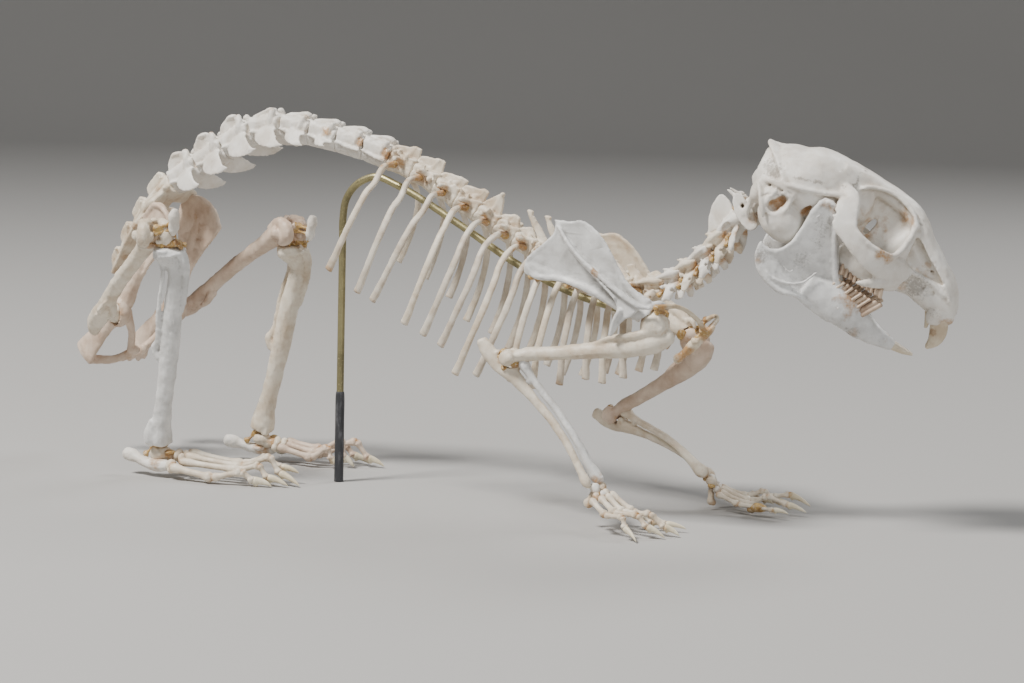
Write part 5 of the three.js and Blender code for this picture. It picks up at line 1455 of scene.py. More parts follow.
# Arms: the upper arm bone with its round head and spool-shaped lower end, and below it two
# slender bones side by side, the outer one running on past the elbow as a knob.
ELBOW = {"right": (9.9, -13, 27.3), "left": (14.6, 20.2, 14.2)}
WRIST = {"right": (26, -12.4, 7.4), "left": (35.6, 13.4, 6)}
for sign, side_name in SIDES:
    shoulder, elbow, wrist = [np.array(joint[side_name], float) for joint in (SHOULDER, ELBOW, WRIST)]
    axis = unit(elbow - shoulder)
    out = unit(np.array([0, sign, 0]) - axis * axis[1] * sign)
    lift = unit(np.cross(axis, out))
    lift = lift if lift[2] > 0 else -lift
    arm_ways = (axis * np.linalg.norm(elbow - shoulder), lift, out)
    lower = unit(wrist - elbow)
    hinge = unit(np.cross(axis, lower))
    front = unit(np.cross(lower, hinge))
    front = front if front[0] > 0 else -front
    outer = hinge * (math.copysign(1, hinge[1]) * sign)
    fore_ways = (lower * np.linalg.norm(wrist - elbow), front, outer)

    def on_arm(rows, steps, sides):
        return bar(rows_from(shoulder, arm_ways, rows), steps, sides, out)

    def on_fore_arm(rows, steps, sides, across=hinge):
        return bar(rows_from(elbow, fore_ways, rows), steps, sides, across)

    parts = [
        on_arm([
            (-0.08, -2.4, 0, 1.2, 1.2), (0.03, -2.6, 0, 2.0, 2.0), (0.2, -2.6, 0, 1.6, 1.75),
            (0.45, -1.8, 0, 1.3, 1.4), (0.7, -0.9, 0, 1.2, 1.2), (0.88, -0.1, 0, 1.7, 1.2), (0.96, 0, 0, 2.1, 1.1),
        ], 40, 18),
        knob(shoulder, (ARM_HEAD,) * 3),
        on_arm([
            (-0.05, -0.8, 1.3, 0.9, 0.9), (0.1, -0.9, 1.5, 0.7, 0.7), (0.3, -0.5, 1.0, 0.55, 0.5),
            (0.44, -0.9, 0.4, 0.4, 0.4),
        ], 14, 12),
        on_arm([(-0.06, -1.6, -1.2, 0.8, 0.8), (0.08, -2.2, -1.2, 0.7, 0.7)], 5, 10),
        # the spool of the elbow, grooved in the middle
        bar([
            (*(elbow + outer * reach), girth, girth) for reach,
            girth in ((-2.3, 1.35), (-1.5, 1.6), (-0.6, 1.2), (0.1, 1.15), (0.9, 1.5), (2.1, 1.3))
        ], 20, 20, front, 2, 0.25),
        knob(elbow + outer * 2.4 - axis * 0.8, (0.8, 0.7, 0.9)),
        knob(elbow - outer * 2.5 - axis * 0.7, (0.8, 0.7, 0.9)),
    ]
    hole = on_arm([(0.915, -3, 0, 0.5, 0.5), (0.915, 3, 0, 0.5, 0.5)], 4, 10)
    glue = [(*elbow, 2.6, 0.6), (*shoulder, 3.2, 0.6)]
    arm = grown(parts, 0.2, 2, [hole])
    arm_bone = set_bone(f"upper_arm_{side_name}", arm, ivory if sign < 0 else rosy, glue, 0.09)
    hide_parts(f"arm_bone_{side_name}")

    parts = [
        on_fore_arm([
            (-0.2, -2.5, 0, 0.85, 1.05), (-0.13, -2.6, 0, 0.95, 1.3), (0, -2.3, 0, 0.8, 1.35),
            (0.09, -1.4, 0, 0.95, 1.35), (0.3, -0.6, 0.3, 0.55, 0.85), (0.5, 0.05, 0.5, 0.55, 0.75),
            (0.7, 0.1, 0.8, 0.55, 0.68), (0.9, -0.4, 1.4, 0.62, 0.72), (0.97, -0.6, 1.6, 0.75, 0.85),
            (1.0, -0.6, 1.65, 0.45, 0.5),
        ], 46, 14),
        on_fore_arm([(-0.19, -2.9, -0.7, 0.5, 0.6), (-0.2, -2.7, 0.6, 0.6, 0.6)], 5, 10, lower),
        on_fore_arm([(-0.08, -1.9, 0, 0.8, 0.6), (-0.075, -0.9, 0, 0.7, 0.4)], 5, 10),
        on_fore_arm([(0.08, -1.2, -0.3, 0.9, 0.6), (0.085, 0.2, -0.6, 0.8, 0.45)], 5, 10),
    ]
    spool = [bar([(*(elbow + hinge * reach), 1.75, 1.75) for reach in (-3.2, 3.2)], 3, 20, front)]
    cut_groove = on_fore_arm([
        (0.12, -1.5, 1.3, 0.3, 0.5), (0.4, -1.4, 1.1, 0.25, 0.4), (0.6, -1.2, 1.4, 0.2, 0.25),
    ], 12, 8)
    ulna = set_bone(
        f"elbow_bone_{side_name}", grown(parts, 0.19, 2, spool + [cut_groove]), ivory,
        [(*elbow, 2.8, 0.65), (*wrist, 2.4, 0.6)], 0.08,
    )
    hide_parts(f"ulna_{side_name}")
    parts = [
        on_fore_arm([
            (0.08, 1.4, 0, 1.25, 0.9), (0.11, 1.4, 0, 1.3, 0.92), (0.16, 1.25, 0, 0.85, 0.7),
            (0.3, 1.35, 0, 0.75, 0.62), (0.5, 1.7, 0, 0.74, 0.62), (0.7, 1.5, -0.2, 0.78, 0.65),
            (0.88, 0.8, -0.6, 0.95, 0.9), (0.96, 0.6, -0.9, 1.2, 1.1), (1.0, 0.6, -0.9, 1.05, 0.9),
        ], 44, 16),
        knob(rows_from(elbow, fore_ways, [(0.2, 0.4, 0, 0)])[0][:3], (0.6, 0.6, 0.6)),
        on_fore_arm([(0.93, 1.4, -0.9, 0.35), (1.0, 1.5, -0.5, 0.35)], 4, 8),
    ]
    radius = set_bone(
        f"fore_arm_{side_name}", grown(parts, 0.19, 2, spool), cool_white if sign < 0 else ivory,
        [(*elbow, 2.8, 0.65), (*wrist, 2.4, 0.7)], 0.08,
    )
    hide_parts(f"radius_{side_name}")

# Fore paws: two rows of small wrist bones and a pea bone behind them, five fine long bones,
# and short toes that arch over pale claws. Each bone is dry and ivory, glued to the next.
FORE_TOES = {
    "right": [
        (0.8, (27.4, -9.9, 5.0), (30.8, -9.2, 2.6), (33.0, -8.6, 2.0), (34.6, -8.0, 1.0), (36.6, -7.2, 0.25)),
        (0.95, (28.3, -11.0, 5.8), (32.7, -11.6, 3.3), (35.6, -10.2, 2.6), (37.7, -9.4, 1.3), (41.2, -8.4, 0.6)),
        (1.0, (28.3, -12.4, 5.6), (31.9, -13.8, 3.4), (36.7, -13.6, 3.6), (39.2, -13.2, 1.5), (41.8, -12.7, 0.25)),
        (1.0, (27.6, -13.5, 5.3), (31.2, -15.6, 3.5), (35.7, -16.2, 3.7), (37.4, -16.4, 1.9), (40.4, -15.6, 0.25)),
        (0.95, (26.6, -14.8, 5.0), (30.5, -17.6, 3.3), (34.2, -18.8, 3.6), (34.9, -19.4, 1.9), (37.8, -21.1, 0.25)),
    ],
    "left": [
        (0.8, (37.9, 12.2, 3.1), (42.1, 11.6, 1.9), (45.8, 11.2, 1.8), (48.8, 11.0, 1.6), (51.8, 10.8, 1.3)),
        (0.95, (37.7, 13.8, 3.2), (43.3, 14.2, 1.4), (46.2, 14.6, 3.3), (49.7, 15.2, 2.0), (53.2, 15.6, 0.9)),
        (1.0, (37.4, 15.2, 3.5), (42.6, 16.0, 1.8), (46.6, 16.8, 2.9), (49.2, 17.4, 3.4), (52.9, 18.5, 1.5)),
        (0.95, (36.8, 16.6, 3.6), (41.2, 18.0, 2.2), (43.9, 19.0, 3.3), (45.9, 20.0, 1.5), (49.2, 21.0, 0.5)),
        (0.85, (36.0, 17.6, 3.3), (39.1, 19.6, 1.9), (41.2, 21.3, 2.2), (42.5, 22.3, 1.0), (44.3, 23.2, 0.3)),
    ],
}
PEA_BONE = {"right": (25.2, -13.2, 4.2), "left": (36.4, 13.2, 1.6)}
for sign, side_name in SIDES:
    set_paw("fore_toe", side_name, FORE_TOES[side_name], 0.7, ivory, 0.9)
    wrist = np.array(WRIST[side_name], float)
    roots = np.array([toe[1] for toe in FORE_TOES[side_name]])
    middle = roots.mean(axis=0)
    across = unit(roots[-1] - roots[0])
    run = middle - wrist
    wrist_bones = [
        ("wrist_bone_1", wrist + run * 0.3 - across * 1.1, (1.0, 0.9, 0.85)),
        ("wrist_bone_2", wrist + run * 0.3 + across * 0.7, (0.95, 0.85, 0.85)),
        ("pea_bone", np.array(PEA_BONE[side_name]), (0.85, 0.75, 0.75)),
    ]
    for k in range(4):
        spot = wrist + run * 0.1 + (roots[k] + (roots[k + 1] - roots[k]) * 0.5 - wrist) * 0.72
        wrist_bones.append((f"wrist_bone_{k + 3}", spot, (0.72, 0.66, 0.72)))
    for k, (label, spot, size) in enumerate(wrist_bones):
        lumps = [
            knob(spot, size, (20 * k, 35 * k, 50 * k), 14, 9),
            knob(spot + np.array([0.25, 0.2 * sign, -0.25]), np.array(size) * 0.8, (60, 20 * k, 0), 12, 8),
        ]
        if label == "pea_bone":
            lumps.append(bar([(*spot, 0.6), (*(wrist + run * 0.35 + across * 0.4), 0.5)], 5, 10))
        piece = set_bone(
            f"{label}_{side_name}", grown(lumps, 0.15, 1), chalk if k % 2 else ivory,
            [(*(spot + run * 0.2), 1.1, 0.85)], 0.08,
        )
    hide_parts(f"fore_paw_{side_name}")

# Skull: one piece of hard white bone. A smooth braincase ends behind in an overhanging crest,
# with a round ear capsule under each side. The cheek arch hangs from its root behind the eye
# socket, and the snout is open at each side in a long window over a lattice of fine bone.
HEAD = (47.1, 2.1, 53.4)
HEAD_PITCH, HEAD_TURN = math.radians(31.6), math.radians(18)
sink, climb = math.sin(HEAD_PITCH), math.cos(HEAD_PITCH)
head_seat = (
    HEAD,
    (climb * math.cos(HEAD_TURN), climb * math.sin(HEAD_TURN), -sink),
    (-math.sin(HEAD_TURN), math.cos(HEAD_TURN), 0),
    (sink * math.cos(HEAD_TURN), sink * math.sin(HEAD_TURN), climb),
)


def on_head(x, y, z):
    return np.array([x, y, z]) @ np.array(head_seat[1:]) + head_seat[0]


def head_marks(rows, side=1):
    """Stains or grime given in the skull's own frame, on its left (1) or its right (-1)."""
    return [(*on_head(x, side * y, z), reach, strength) for x, y, z, reach, strength in rows]


ACROSS, LENGTHWISE = (0, 1, 0), (1, 0, 0)
skull_parts = [
    bar([
        (-2.2, 0, 6.6, 5.0, 4.0), (-0.6, 0, 7.0, 6.2, 4.9), (1.2, 0, 7.6, 7.5, 5.4), (3, 0, 7.9, 8.1, 5.8),
        (5.6, 0, 8.6, 8.2, 6.5), (8.8, 0, 9.6, 7.2, 6.2), (11.6, 0, 10.6, 5.6, 5.4), (14, 0, 11.4, 3.8, 4.5),
    ], 30, 40, ACROSS, 2.25, 0.5),
    # roof over the eyes, running on down the nose
    bar([
        (9, 0, 13, 5.4, 2.7), (12, 0, 13.8, 3.9, 2.1), (15, 0, 14.3, 2.8, 1.6), (18.4, 0, 14.4, 2.5, 1.5),
        (21.6, 0, 14, 2.8, 1.6), (23.8, 0, 12.7, 3.3, 1.8), (26.2, 0, 10.9, 3.4, 1.8), (29.6, 0, 9.0, 3.1, 1.8),
        (32.6, 0, 7.0, 2.8, 1.7), (34.8, 0, 4.6, 2.3, 1.55), (36.3, 0, 2.9, 1.7, 1.15),
    ], 50, 30, ACROSS, 2.5, 0.5),
    # the thin wall between the eye sockets, and the block of the snout
    bar([
        (10, 0, 9.5, 5.4, 5), (12.2, 0, 9.6, 3.2, 5), (14.6, 0, 9.6, 1.6, 4.9), (17.4, 0, 9.5, 0.95, 4.9),
        (20.4, 0, 9.2, 1.2, 5), (22.6, 0, 8.8, 2.2, 5),
    ], 26, 26, ACROSS, 2.6),
    bar([
        (22.4, 0, 8.4, 2.7, 5.0), (24.4, 0, 7.8, 3.1, 5.0), (26, 0, 7.0, 3.2, 5.2), (29, 0, 6.4, 2.9, 4.3),
        (32, 0, 5.3, 2.7, 3.8), (34.4, 0, 3.8, 2.35, 2.8), (36.2, 0, 2.1, 1.6, 1.8),
    ], 30, 30, ACROSS, 2.7, 0.5),
    # crest at the back, and the floor of the skull
    bar([
        (1.7, -7.9, 6.9, 0.5, 0.4), (0.3, -6.9, 8.3, 0.6, 0.4), (-1.6, -4.9, 9.7, 0.8, 0.42),
        (-3.0, -2.6, 10.5, 1.0, 0.45), (-3.6, 0, 10.8, 1.1, 0.5), (-3.0, 2.6, 10.5, 1.0, 0.45),
        (-1.6, 4.9, 9.7, 0.8, 0.42), (0.3, 6.9, 8.3, 0.6, 0.4), (1.7, 7.9, 6.9, 0.5, 0.4),
    ], 44, 12, LENGTHWISE),
    bar([
        (-3.8, 0, 10.8, 0.7, 0.4), (-1.6, 0, 11.4, 1.2, 0.6), (1.6, 0, 12.6, 1.2, 0.8), (5, 0, 14.2, 1.0, 0.9),
    ], 12, 12),
    bar([(-0.8, 0, 0.6, 1.9, 0.8), (4, 0, 1.3, 1.9, 1.2), (10, 0, 3.0, 1.7, 1.7), (16, 0, 3.6, 1.2, 1.4)], 16, 16),
    bar([
        (16.5, 0, 3.2, 2.6, 0.8), (20.5, 0, 2.6, 3.8, 0.9), (25, 0, 2.6, 3.0, 1.1), (28.5, 0, 3.4, 1.8, 1.3),
    ], 16, 16),
]
skull_cuts = [
    knob((-5.0, 0, 7.0), (2.8, 4.4, 2.9)), knob((-1.8, 0, 2.6), (2.9, 2.1, 1.8)),
    knob((17.2, 0, 8.2), (0.6, 4, 1.7), (0, 8, 0)),
    knob((37.6, 0, 3.3), (2.2, 1.25, 1.5), (0, 40, 0)), knob((25.2, 0, 0.9), (3.6, 0.9, 1.6), (0, -6, 0)),
]
lattice = np.random.default_rng(7)
LATTICE_PORES = 26
WINDOW_BACK = 26.4
WINDOW_RUN = 5.6
for s in (-1, 1):
    skull_parts += [
        knob((4.4, s * 5.3, 1.7), (4.6, 3.3, 3.4), (0, 18, 0), 26, 16),
        knob((-0.9, s * 5.4, 3.9), (1.7, 1.9, 2.5)), knob((-0.9, s * 2.1, 0.5), (1.35, 1.05, 1.6)),
        knob((1.9, s * 7.2, 3.6), (2.5, 1.2, 2.5), sides=20, bands=12),
        bar([(-1.4, s * 5.4, 2.8, 0.7, 0.7), (-1.1, s * 4.6, 0.3, 0.6, 0.5), (-0.4, s * 4.0, -1.2, 0.3, 0.3)], 8, 10),
        # rim of the ear opening and its slanting strut
        bar([
            (x, s * 8.3, z, 0.26, 0.34) for x,
            z in ((1.2, 5.2), (0.9, 3.6), (1.6, 2.0), (2.7, 1.5), (3.9, 2.4), (4.3, 4.2), (3.6, 5.5), (2.4, 5.7))
        ], 30, 8, ACROSS),
        bar([
            (-2.0, s * 6.6, 4.6, 0.4), (-0.6, s * 7.9, 3.4, 0.45), (0.9, s * 8.5, 1.6, 0.42),
            (1.8, s * 8.4, 0.6, 0.3),
        ], 12, 8),
        bar([(4.1, s * 8.1, 1.8, 0.3), (4.3, s * 8.1, 4.2, 0.32), (3.9, s * 8.0, 6.8, 0.32)], 8, 8),
        bar([(2.6, s * 7.0, 4.9, 0.3), (2.3, s * 7.2, 3.6, 0.2), (3.0, s * 7.0, 2.6, 0.26)], 6, 8, LENGTHWISE),
        bar([
            (-1.9, s * 6.2, 5.4, 0.45), (-0.4, s * 7.4, 5.9, 0.4), (1.8, s * 8.2, 6.2, 0.34),
            (3.6, s * 8.1, 6.6, 0.3),
        ], 10, 8),
        # ridge along the temple, out to the root of the arch
        bar([
            (-2, s * 6.0, 6.0, 0.5, 0.4), (0.6, s * 7.7, 6.5, 0.5, 0.4), (3.75, s * 8.2, 7.5, 0.5, 0.42),
            (7.6, s * 7.9, 9.0, 0.6, 0.42), (10.6, s * 6.9, 10.3, 0.9, 0.55), (12.4, s * 6.9, 10.7, 0.9, 0.7),
        ], 24, 12),
        bar([
            (10.2, s * 5.2, 10.6, 1.5, 1.9), (11.8, s * 7.4, 10.4, 0.9, 1.9), (12.5, s * 9.0, 9.0, 0.5, 1.95),
            (13.2, s * 9.7, 7.2, 0.42, 2.1), (15.2, s * 9.9, 5.9, 0.4, 1.6), (18, s * 9.7, 4.9, 0.38, 1.7),
            (20.2, s * 9.2, 4.6, 0.4, 2.05), (22.2, s * 8.0, 4.6, 0.6, 2.1), (24.4, s * 5.6, 5.0, 0.9, 2.0),
            (26, s * 3.0, 5.4, 1.2, 1.8),
        ], 46, 16, ACROSS, 2.5),
        bar([
            (13.6, s * 8.2, 9.8, 0.5, 0.5), (14.4, s * 9.4, 8.4, 0.5, 0.42), (15.6, s * 9.8, 7.1, 0.5, 0.42),
            (18.4, s * 9.8, 6.5, 0.5, 0.4), (21, s * 9.1, 6.5, 0.5, 0.42), (22.8, s * 7.7, 6.8, 0.5, 0.5),
            (23.5, s * 5.9, 8.6, 0.5, 0.5), (23.6, s * 4.5, 10.6, 0.5, 0.5), (23.3, s * 3.7, 12.5, 0.6, 0.6),
        ], 34, 10),
        knob((23.3, s * 3.7, 12.6), (0.7, 0.6, 0.6)),
        flat_bone(
            [(22.9, 6.4), (25.8, 5.6), (25.3, 8), (24.6, 10.2), (23.9, 12.3), (23.1, 12.2), (23.1, 9.2)], 0.7,
            lambda x, z, s=s: s * (3.2 + (12.6 - z) * 0.58 * min(max((25.8 - x) / 3, 0), 1)),
        ),
        # the spine under the front of the arch, where the chewing muscle held
        bar([
            (26, s * 3.4, 4.4, 0.7, 1.1), (24.6, s * 5.6, 3.0, 0.8, 1.15), (23.0, s * 7.4, 1.7, 0.7, 1.0),
            (21.5, s * 8.4, 0.7, 0.5, 0.7), (20.2, s * 8.7, 0.0, 0.22, 0.26),
        ], 20, 12),
        flat_bone(
            [(20.8, 3.4), (22.4, 2.0), (24.8, 2.4), (25, 4.6), (21.6, 4.8)], 0.6,
            lambda x, z, s=s: s * (8.4 - 0.85 * max(x - 21, 0)),
        ),
        # upper rim of the eye socket
        bar([
            (12.6, s * 4.6, 13.0, 0.5, 0.4), (14.2, s * 3.7, 14.1, 0.5, 0.4), (17, s * 3.1, 14.9, 0.5, 0.4),
            (20, s * 3.2, 14.7, 0.5, 0.4), (22.4, s * 3.6, 13.7, 0.5, 0.4), (23.4, s * 3.8, 12.5, 0.5, 0.5),
        ], 24, 10),
        # tooth sockets, and the wings under the throat
        bar([
            (15.6, s * 4.6, 3.6, 1.2, 2.2), (17.6, s * 4.9, 3.0, 1.5, 2.5), (20.8, s * 4.9, 2.8, 1.6, 2.5),
            (23.6, s * 4.3, 2.9, 1.4, 2.3), (25.6, s * 3.5, 3.4, 1.1, 1.9),
        ], 18, 14),
        bar([
            (9.4, s * 1.9, 1.8, 0.4, 1.2), (12.6, s * 2.3, 1.4, 0.35, 1.5), (15.8, s * 3.0, 2.2, 0.45, 1.4),
        ], 10, 10),
        # thin bar that crosses the side of the snout under the window
        bar([
            (25.2, s * 3.5, 6.0, 0.4, 0.35), (28, s * 3.2, 6.1, 0.36, 0.32), (31, s * 2.9, 6.1, 0.4, 0.34),
            (33.4, s * 2.6, 5.6, 0.45, 0.4),
        ], 14, 10),
        bar([
            (24.4, s * 3.4, 11.7, 0.4, 0.35), (28.6, s * 3.1, 9.3, 0.36, 0.35), (32, s * 2.8, 7.2, 0.36, 0.35),
            (34.8, s * 2.4, 5.2, 0.4, 0.4),
        ], 16, 10),
        knob((34.2, s * 1.9, 1.9), (1.5, 0.9, 1.6), (0, 20, 0)),
    ]
    skull_cuts += [
        knob((2.3, s * 8.9, 3.0), (1.1, 2.4, 1.15), (0, 25, 0), 20, 12), knob((2.9, s * 8.9, 4.3), (0.9, 2.4, 1.1)),
        knob((0.3, s * 9.0, 3.9), (0.4, 1.3, 1.2), (0, 35, 0)),
        flat_bone([
            (25.3, 6.7), (31.8, 6.8), (32.3, 7.2), (28.2, 9.4), (24.9, 11.2), (24.5, 10.4),
        ], 2.1, lambda x, z, s=s: s * (3.35 - 0.08 * (x - 25)), 5),
        bar([
            (25.4, s * 3.7, 11.8, 0.22), (29.4, s * 3.35, 9.9, 0.22), (33.4, s * 2.9, 7.0, 0.22),
            (35.8, s * 2.3, 4.7, 0.22),
        ], 14, 8),
        knob((29.6, s * 1.9, 7.7), (0.3, 1.5, 0.25)), knob((28.9, s * 1.9, 7.5), (0.2, 1.5, 0.18)),
        knob((11.9, s * 3.4, 6.2), (1.2, 2.6, 1.5)), knob((7.0, s * 7.0, 5.2), (0.45, 1.3, 1.3), (0, 20, 0)),
        knob((11.0, s * 9.6, 7.6), (0.5, 0.9, 0.35)), knob((11.2, s * 9.8, 6.4), (0.4, 0.9, 0.5)),
    ]
    for _ in range(LATTICE_PORES):
        x = WINDOW_BACK + WINDOW_RUN * lattice.random()
        z = 3.0 + (x - WINDOW_BACK) * 0.05 + 2.2 * lattice.random()
        skull_cuts.append(knob(
            (x, s * (3.35 - 0.09 * (x - 25)), z), (0.22 + 0.16 * lattice.random(), 0.8, 0.2),
            (0, 60 * lattice.random(), 0), 8, 6,
        ))
skull_stains = head_marks([
    (17.5, -2, 8, 5.5, 0.45), (22.4, -3.4, 13, 1.8, 0.7), (20.4, -9, 6.3, 1.8, 0.75), (21.8, -8.4, 6.2, 1.6, 0.7),
    (20.5, -2.4, 12.4, 2.2, 0.6), (2.5, -6.9, 3.6, 1.8, 1.0), (6.8, -6, 5.4, 1.8, 0.9), (-1, 0, 0.6, 3.4, 0.8),
    (36.3, -1.6, 2.2, 1.9, 0.6), (27, -2.6, 3.4, 2.2, 0.5), (17.5, 2, 8, 5.5, 0.45), (2.5, 6.9, 3.6, 1.8, 1.0),
    (6.8, 6, 5.4, 1.8, 0.9), (28.6, -1.8, 7.8, 2.8, 0.45),
])
skull_made = grown(seated(skull_parts, *head_seat), 0.19, 2, seated(skull_cuts, *head_seat), 0.4)
# seams between the plates of the skull, and its rough grey faces
skull_grime = head_marks([
    (-0.4, -5.9, 7.4, 2.2, 0.8), (-1.6, -4.6, 8.0, 1.8, 0.8), (-2.4, 0, 8, 4.2, 0.6), (11.6, -5.6, 11.6, 1.5, 0.9),
    (12.6, -5.2, 11.4, 0.9, 0.8), (33.8, -2.2, 2.2, 1.8, 0.4), (28.8, -3.0, 4.2, 2.8, 0.8), (13, -3.4, 9, 2.0, 0.5),
    (23.2, -5, 10, 2.0, 0.3), (2.4, -7.6, 5.4, 1.6, 0.6), (-1.4, 4.6, 7.6, 2.4, 0.7), (11.6, 5.6, 11.6, 1.5, 0.9),
    (28.8, 3.0, 4.2, 2.8, 0.8),
])
SEAM_SPOTS = 90
for seam, wander in (
    ([
        (3.2, 0.1, 13.9), (8, 0, 15.8), (14, 0.05, 15.9), (20, 0, 15.9), (25, 0, 13.2), (31, 0, 9.6), (36, 0, 5.4),
    ], 0.16),
    ([(11.5, -5.5, 12.2), (11.2, -3.2, 14.8), (11.8, 0, 15.9), (11.2, 3.2, 14.8), (11.5, 5.5, 12.2)], 0.3),
    ([(0.8, -6.0, 9.3), (1.6, -3.2, 11.9), (1.2, 0, 12.8), (1.6, 3.2, 11.9), (0.8, 6.0, 9.3)], 0.25),
    ([(23.6, -3.3, 13.2), (24.6, -1.6, 13.6), (23.8, 0, 14.2), (24.6, 1.6, 13.6), (23.6, 3.3, 13.2)], 0.22),
    ([(11.4, -5.6, 12.2), (8.6, -7.4, 11.2), (5.4, -8.1, 9.8), (2.6, -8.0, 8.6)], 0.2),
    ([(11.4, 5.6, 12.2), (8.6, 7.4, 11.2), (5.4, 8.1, 9.8), (2.6, 8.0, 8.6)], 0.2),
):
    for k, spot in enumerate(spline(seam, np.linspace(0, 1, SEAM_SPOTS))):
        spot = spot + wander * np.array([math.sin(k * 1.1), math.sin(k * 0.8), 0])
        skull_grime.append((*on_head(*spot), 0.34, 0.85))
skull = set_bone("skull_bone", skull_made, chalk, skull_stains, 0.09, skull_grime)
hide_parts("skull")

# Lower jaw: each half a broad thin plate behind, marked by the arcs of the chewing muscle and
# pitted along its angle, with a knob that hangs under the root of the cheek arch.
JAW = [
    (8.3, 7.9), (9.1, 8.6), (10.5, 8.4), (11.9, 7.2), (13.8, 3.6), (15.8, 0.6), (17.6, -1.5), (20.2, -2.4),
    (23.2, -3.2), (25, -5.0), (25.9, -8.0), (22.8, -8.2), (18.7, -8.1), (14.9, -7.3), (12.8, -7.4), (11.2, -8.2),
    (8.5, -8), (5.8, -6.9), (4.4, -5.5), (3.7, -3.4), (5.6, -3.4), (7.15, -2.4), (8, -0.4), (8.1, 2.2), (7.9, 4.4),
    (7.7, 5.9),
]


def jaw_side(x, z, proud=0.0):
    t = min(max((x - 9) / 17, 0), 1)
    return 8.5 + (3.2 - 8.5) * t * t * (3 - 2 * t) + 0.03 * (z - 8) + proud


for s, side_name in SIDES:
    def on_jaw(rows, steps=14, sides=10):
        return bar([(x, s * jaw_side(x, z, proud), z, *size) for x, z, proud, *size in rows], steps, sides)

    parts = [
        flat_bone(JAW, 0.75, lambda x, z: s * jaw_side(x, z), 5),
        on_jaw([
            (8.4, 7.8, 0, 0.7, 0.5), (8.2, 5.2, 0, 0.42), (8.2, 2.2, 0, 0.4), (8.2, -0.2, 0, 0.4),
            (7.3, -2.3, 0, 0.42), (5.6, -3.5, 0, 0.42), (4.0, -3.2, 0, 0.3),
        ], 26),
        on_jaw([
            (3.8, -3.0, 0, 0.3), (4.5, -5.2, 0.1, 0.42), (6, -6.8, 0.1, 0.5), (8.6, -7.8, 0.1, 0.52),
            (11.2, -8.0, 0, 0.5), (13, -7.3, 0, 0.5), (16, -7.4, 0, 0.7), (20, -7.6, 0, 0.9),
        ], 30),
        on_jaw([
            (10.6, 8, 0, 0.6, 0.5), (12, 6.6, 0.1, 0.5), (13.8, 3.4, 0.15, 0.45), (15.8, 0.4, 0.2, 0.45),
            (17.6, -1.8, 0.3, 0.5), (20.0, -2.6, 0.3, 0.55), (23, -3.6, 0.2, 0.5),
        ], 28),
        on_jaw([
            (12.6, 6.0, -0.9, 0.3), (14.8, 2.6, -1.0, 0.32), (16.8, -0.4, -1.0, 0.35), (18.6, -2.4, -0.6, 0.4),
        ], 16),
        bar([(8.6, s * 7.9, 8.3, 0.7, 0.45), (9.8, s * 8.4, 8.5, 1.0, 0.5), (10.8, s * 8.5, 8.2, 0.7, 0.42)], 10, 12),
        bar([
            (14, s * 6.6, -5.2, 0.6, 1.9), (18, s * 5.5, -5.1, 1.35, 2.9), (21, s * 4.7, -5.3, 1.5, 2.8),
            (23.6, s * 3.7, -5.8, 1.4, 2.4), (27, s * 2.0, -6.3, 1.2, 1.75), (29.4, s * 1.2, -6.2, 1.0, 1.3),
            (31, s * 0.9, -6.1, 0.85, 0.95),
        ], 30, 18),
        bar([(24, s * 1.6, -6.4, 1.3, 1.4), (28, s * 0.8, -6.3, 0.8, 1.4), (30.6, s * 0.6, -6.2, 0.6, 0.9)], 10, 12),
        # arcs where the chewing muscle was fixed
        on_jaw([
            (5.6, -6.0, 0.35, 0.2), (8, -6.8, 0.42, 0.24), (10.5, -6.5, 0.42, 0.26), (13, -4.9, 0.42, 0.26),
            (14.1, -2.2, 0.3, 0.2),
        ], 24, 8),
        on_jaw([(9.1, -4.3, 0.32, 0.16), (10.2, -4.6, 0.36, 0.18), (11.1, -2.8, 0.3, 0.14)], 10, 8),
    ]
    cuts = [bar([
        (x, s * (jaw_side(x, z) + 0.75), z, 0.32) for x, z in ((5.6, -4.6), (7.6, -5.7), (10.6, -5.6))
    ], 8, 8)]
    cuts += [
        knob((x, s * (jaw_side(x, z) + 0.5), z), (0.2, 0.35, 0.2), sides=8, bands=6) for x,
        z in (
            (4.5, -4.3), (4.9, -5.3), (5.6, -6.0), (5.1, -4.5), (6.6, -6.6), (6.9, -1.9), (9.2, 0.5), (12.4, 2.2),
            (10.6, -1.0),
        )
    ]
    cuts += [
        knob((x, s * y, z), (0.42, 0.6, 0.26), sides=10, bands=7) for x, y,
        z in ((20.6, 5.9, -7.4), (23.2, 4.9, -7.6), (25.2, 4.0, -7.8))
    ]
    made = grown(seated(parts, *head_seat), 0.18, 2, seated(cuts, *head_seat), 0.4)
    marks = head_marks((
        (9.6, 8, 8.2, 2, 0.8), (12.9, 7.3, 5, 1.6, 0.5), (21, 5, -3.4, 3.4, 0.8), (24, 3.6, -7.8, 2.2, 0.5),
        (5, 9, -5.4, 1.8, 0.5), (30, 1, -5.6, 1.6, 0.5),
    ), s)
    jaw_grime = head_marks([
        (x, jaw_side(x, z, 0.4), z, reach, strength) for x, z, reach,
        strength in (
            (5, -5, 1.8, 0.7), (11, -2, 2.6, 0.5), (10.6, 5.4, 2.0, 0.6), (13, -6, 2.4, 0.4), (24, -7.4, 2.0, 0.7),
            (12.2, 1.6, 1.6, 0.5),
        )
    ], s)
    jaw = set_bone(f"jaw_{side_name}", made, cool_white, marks, 0.09, jaw_grime)
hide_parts("lower_jaw")

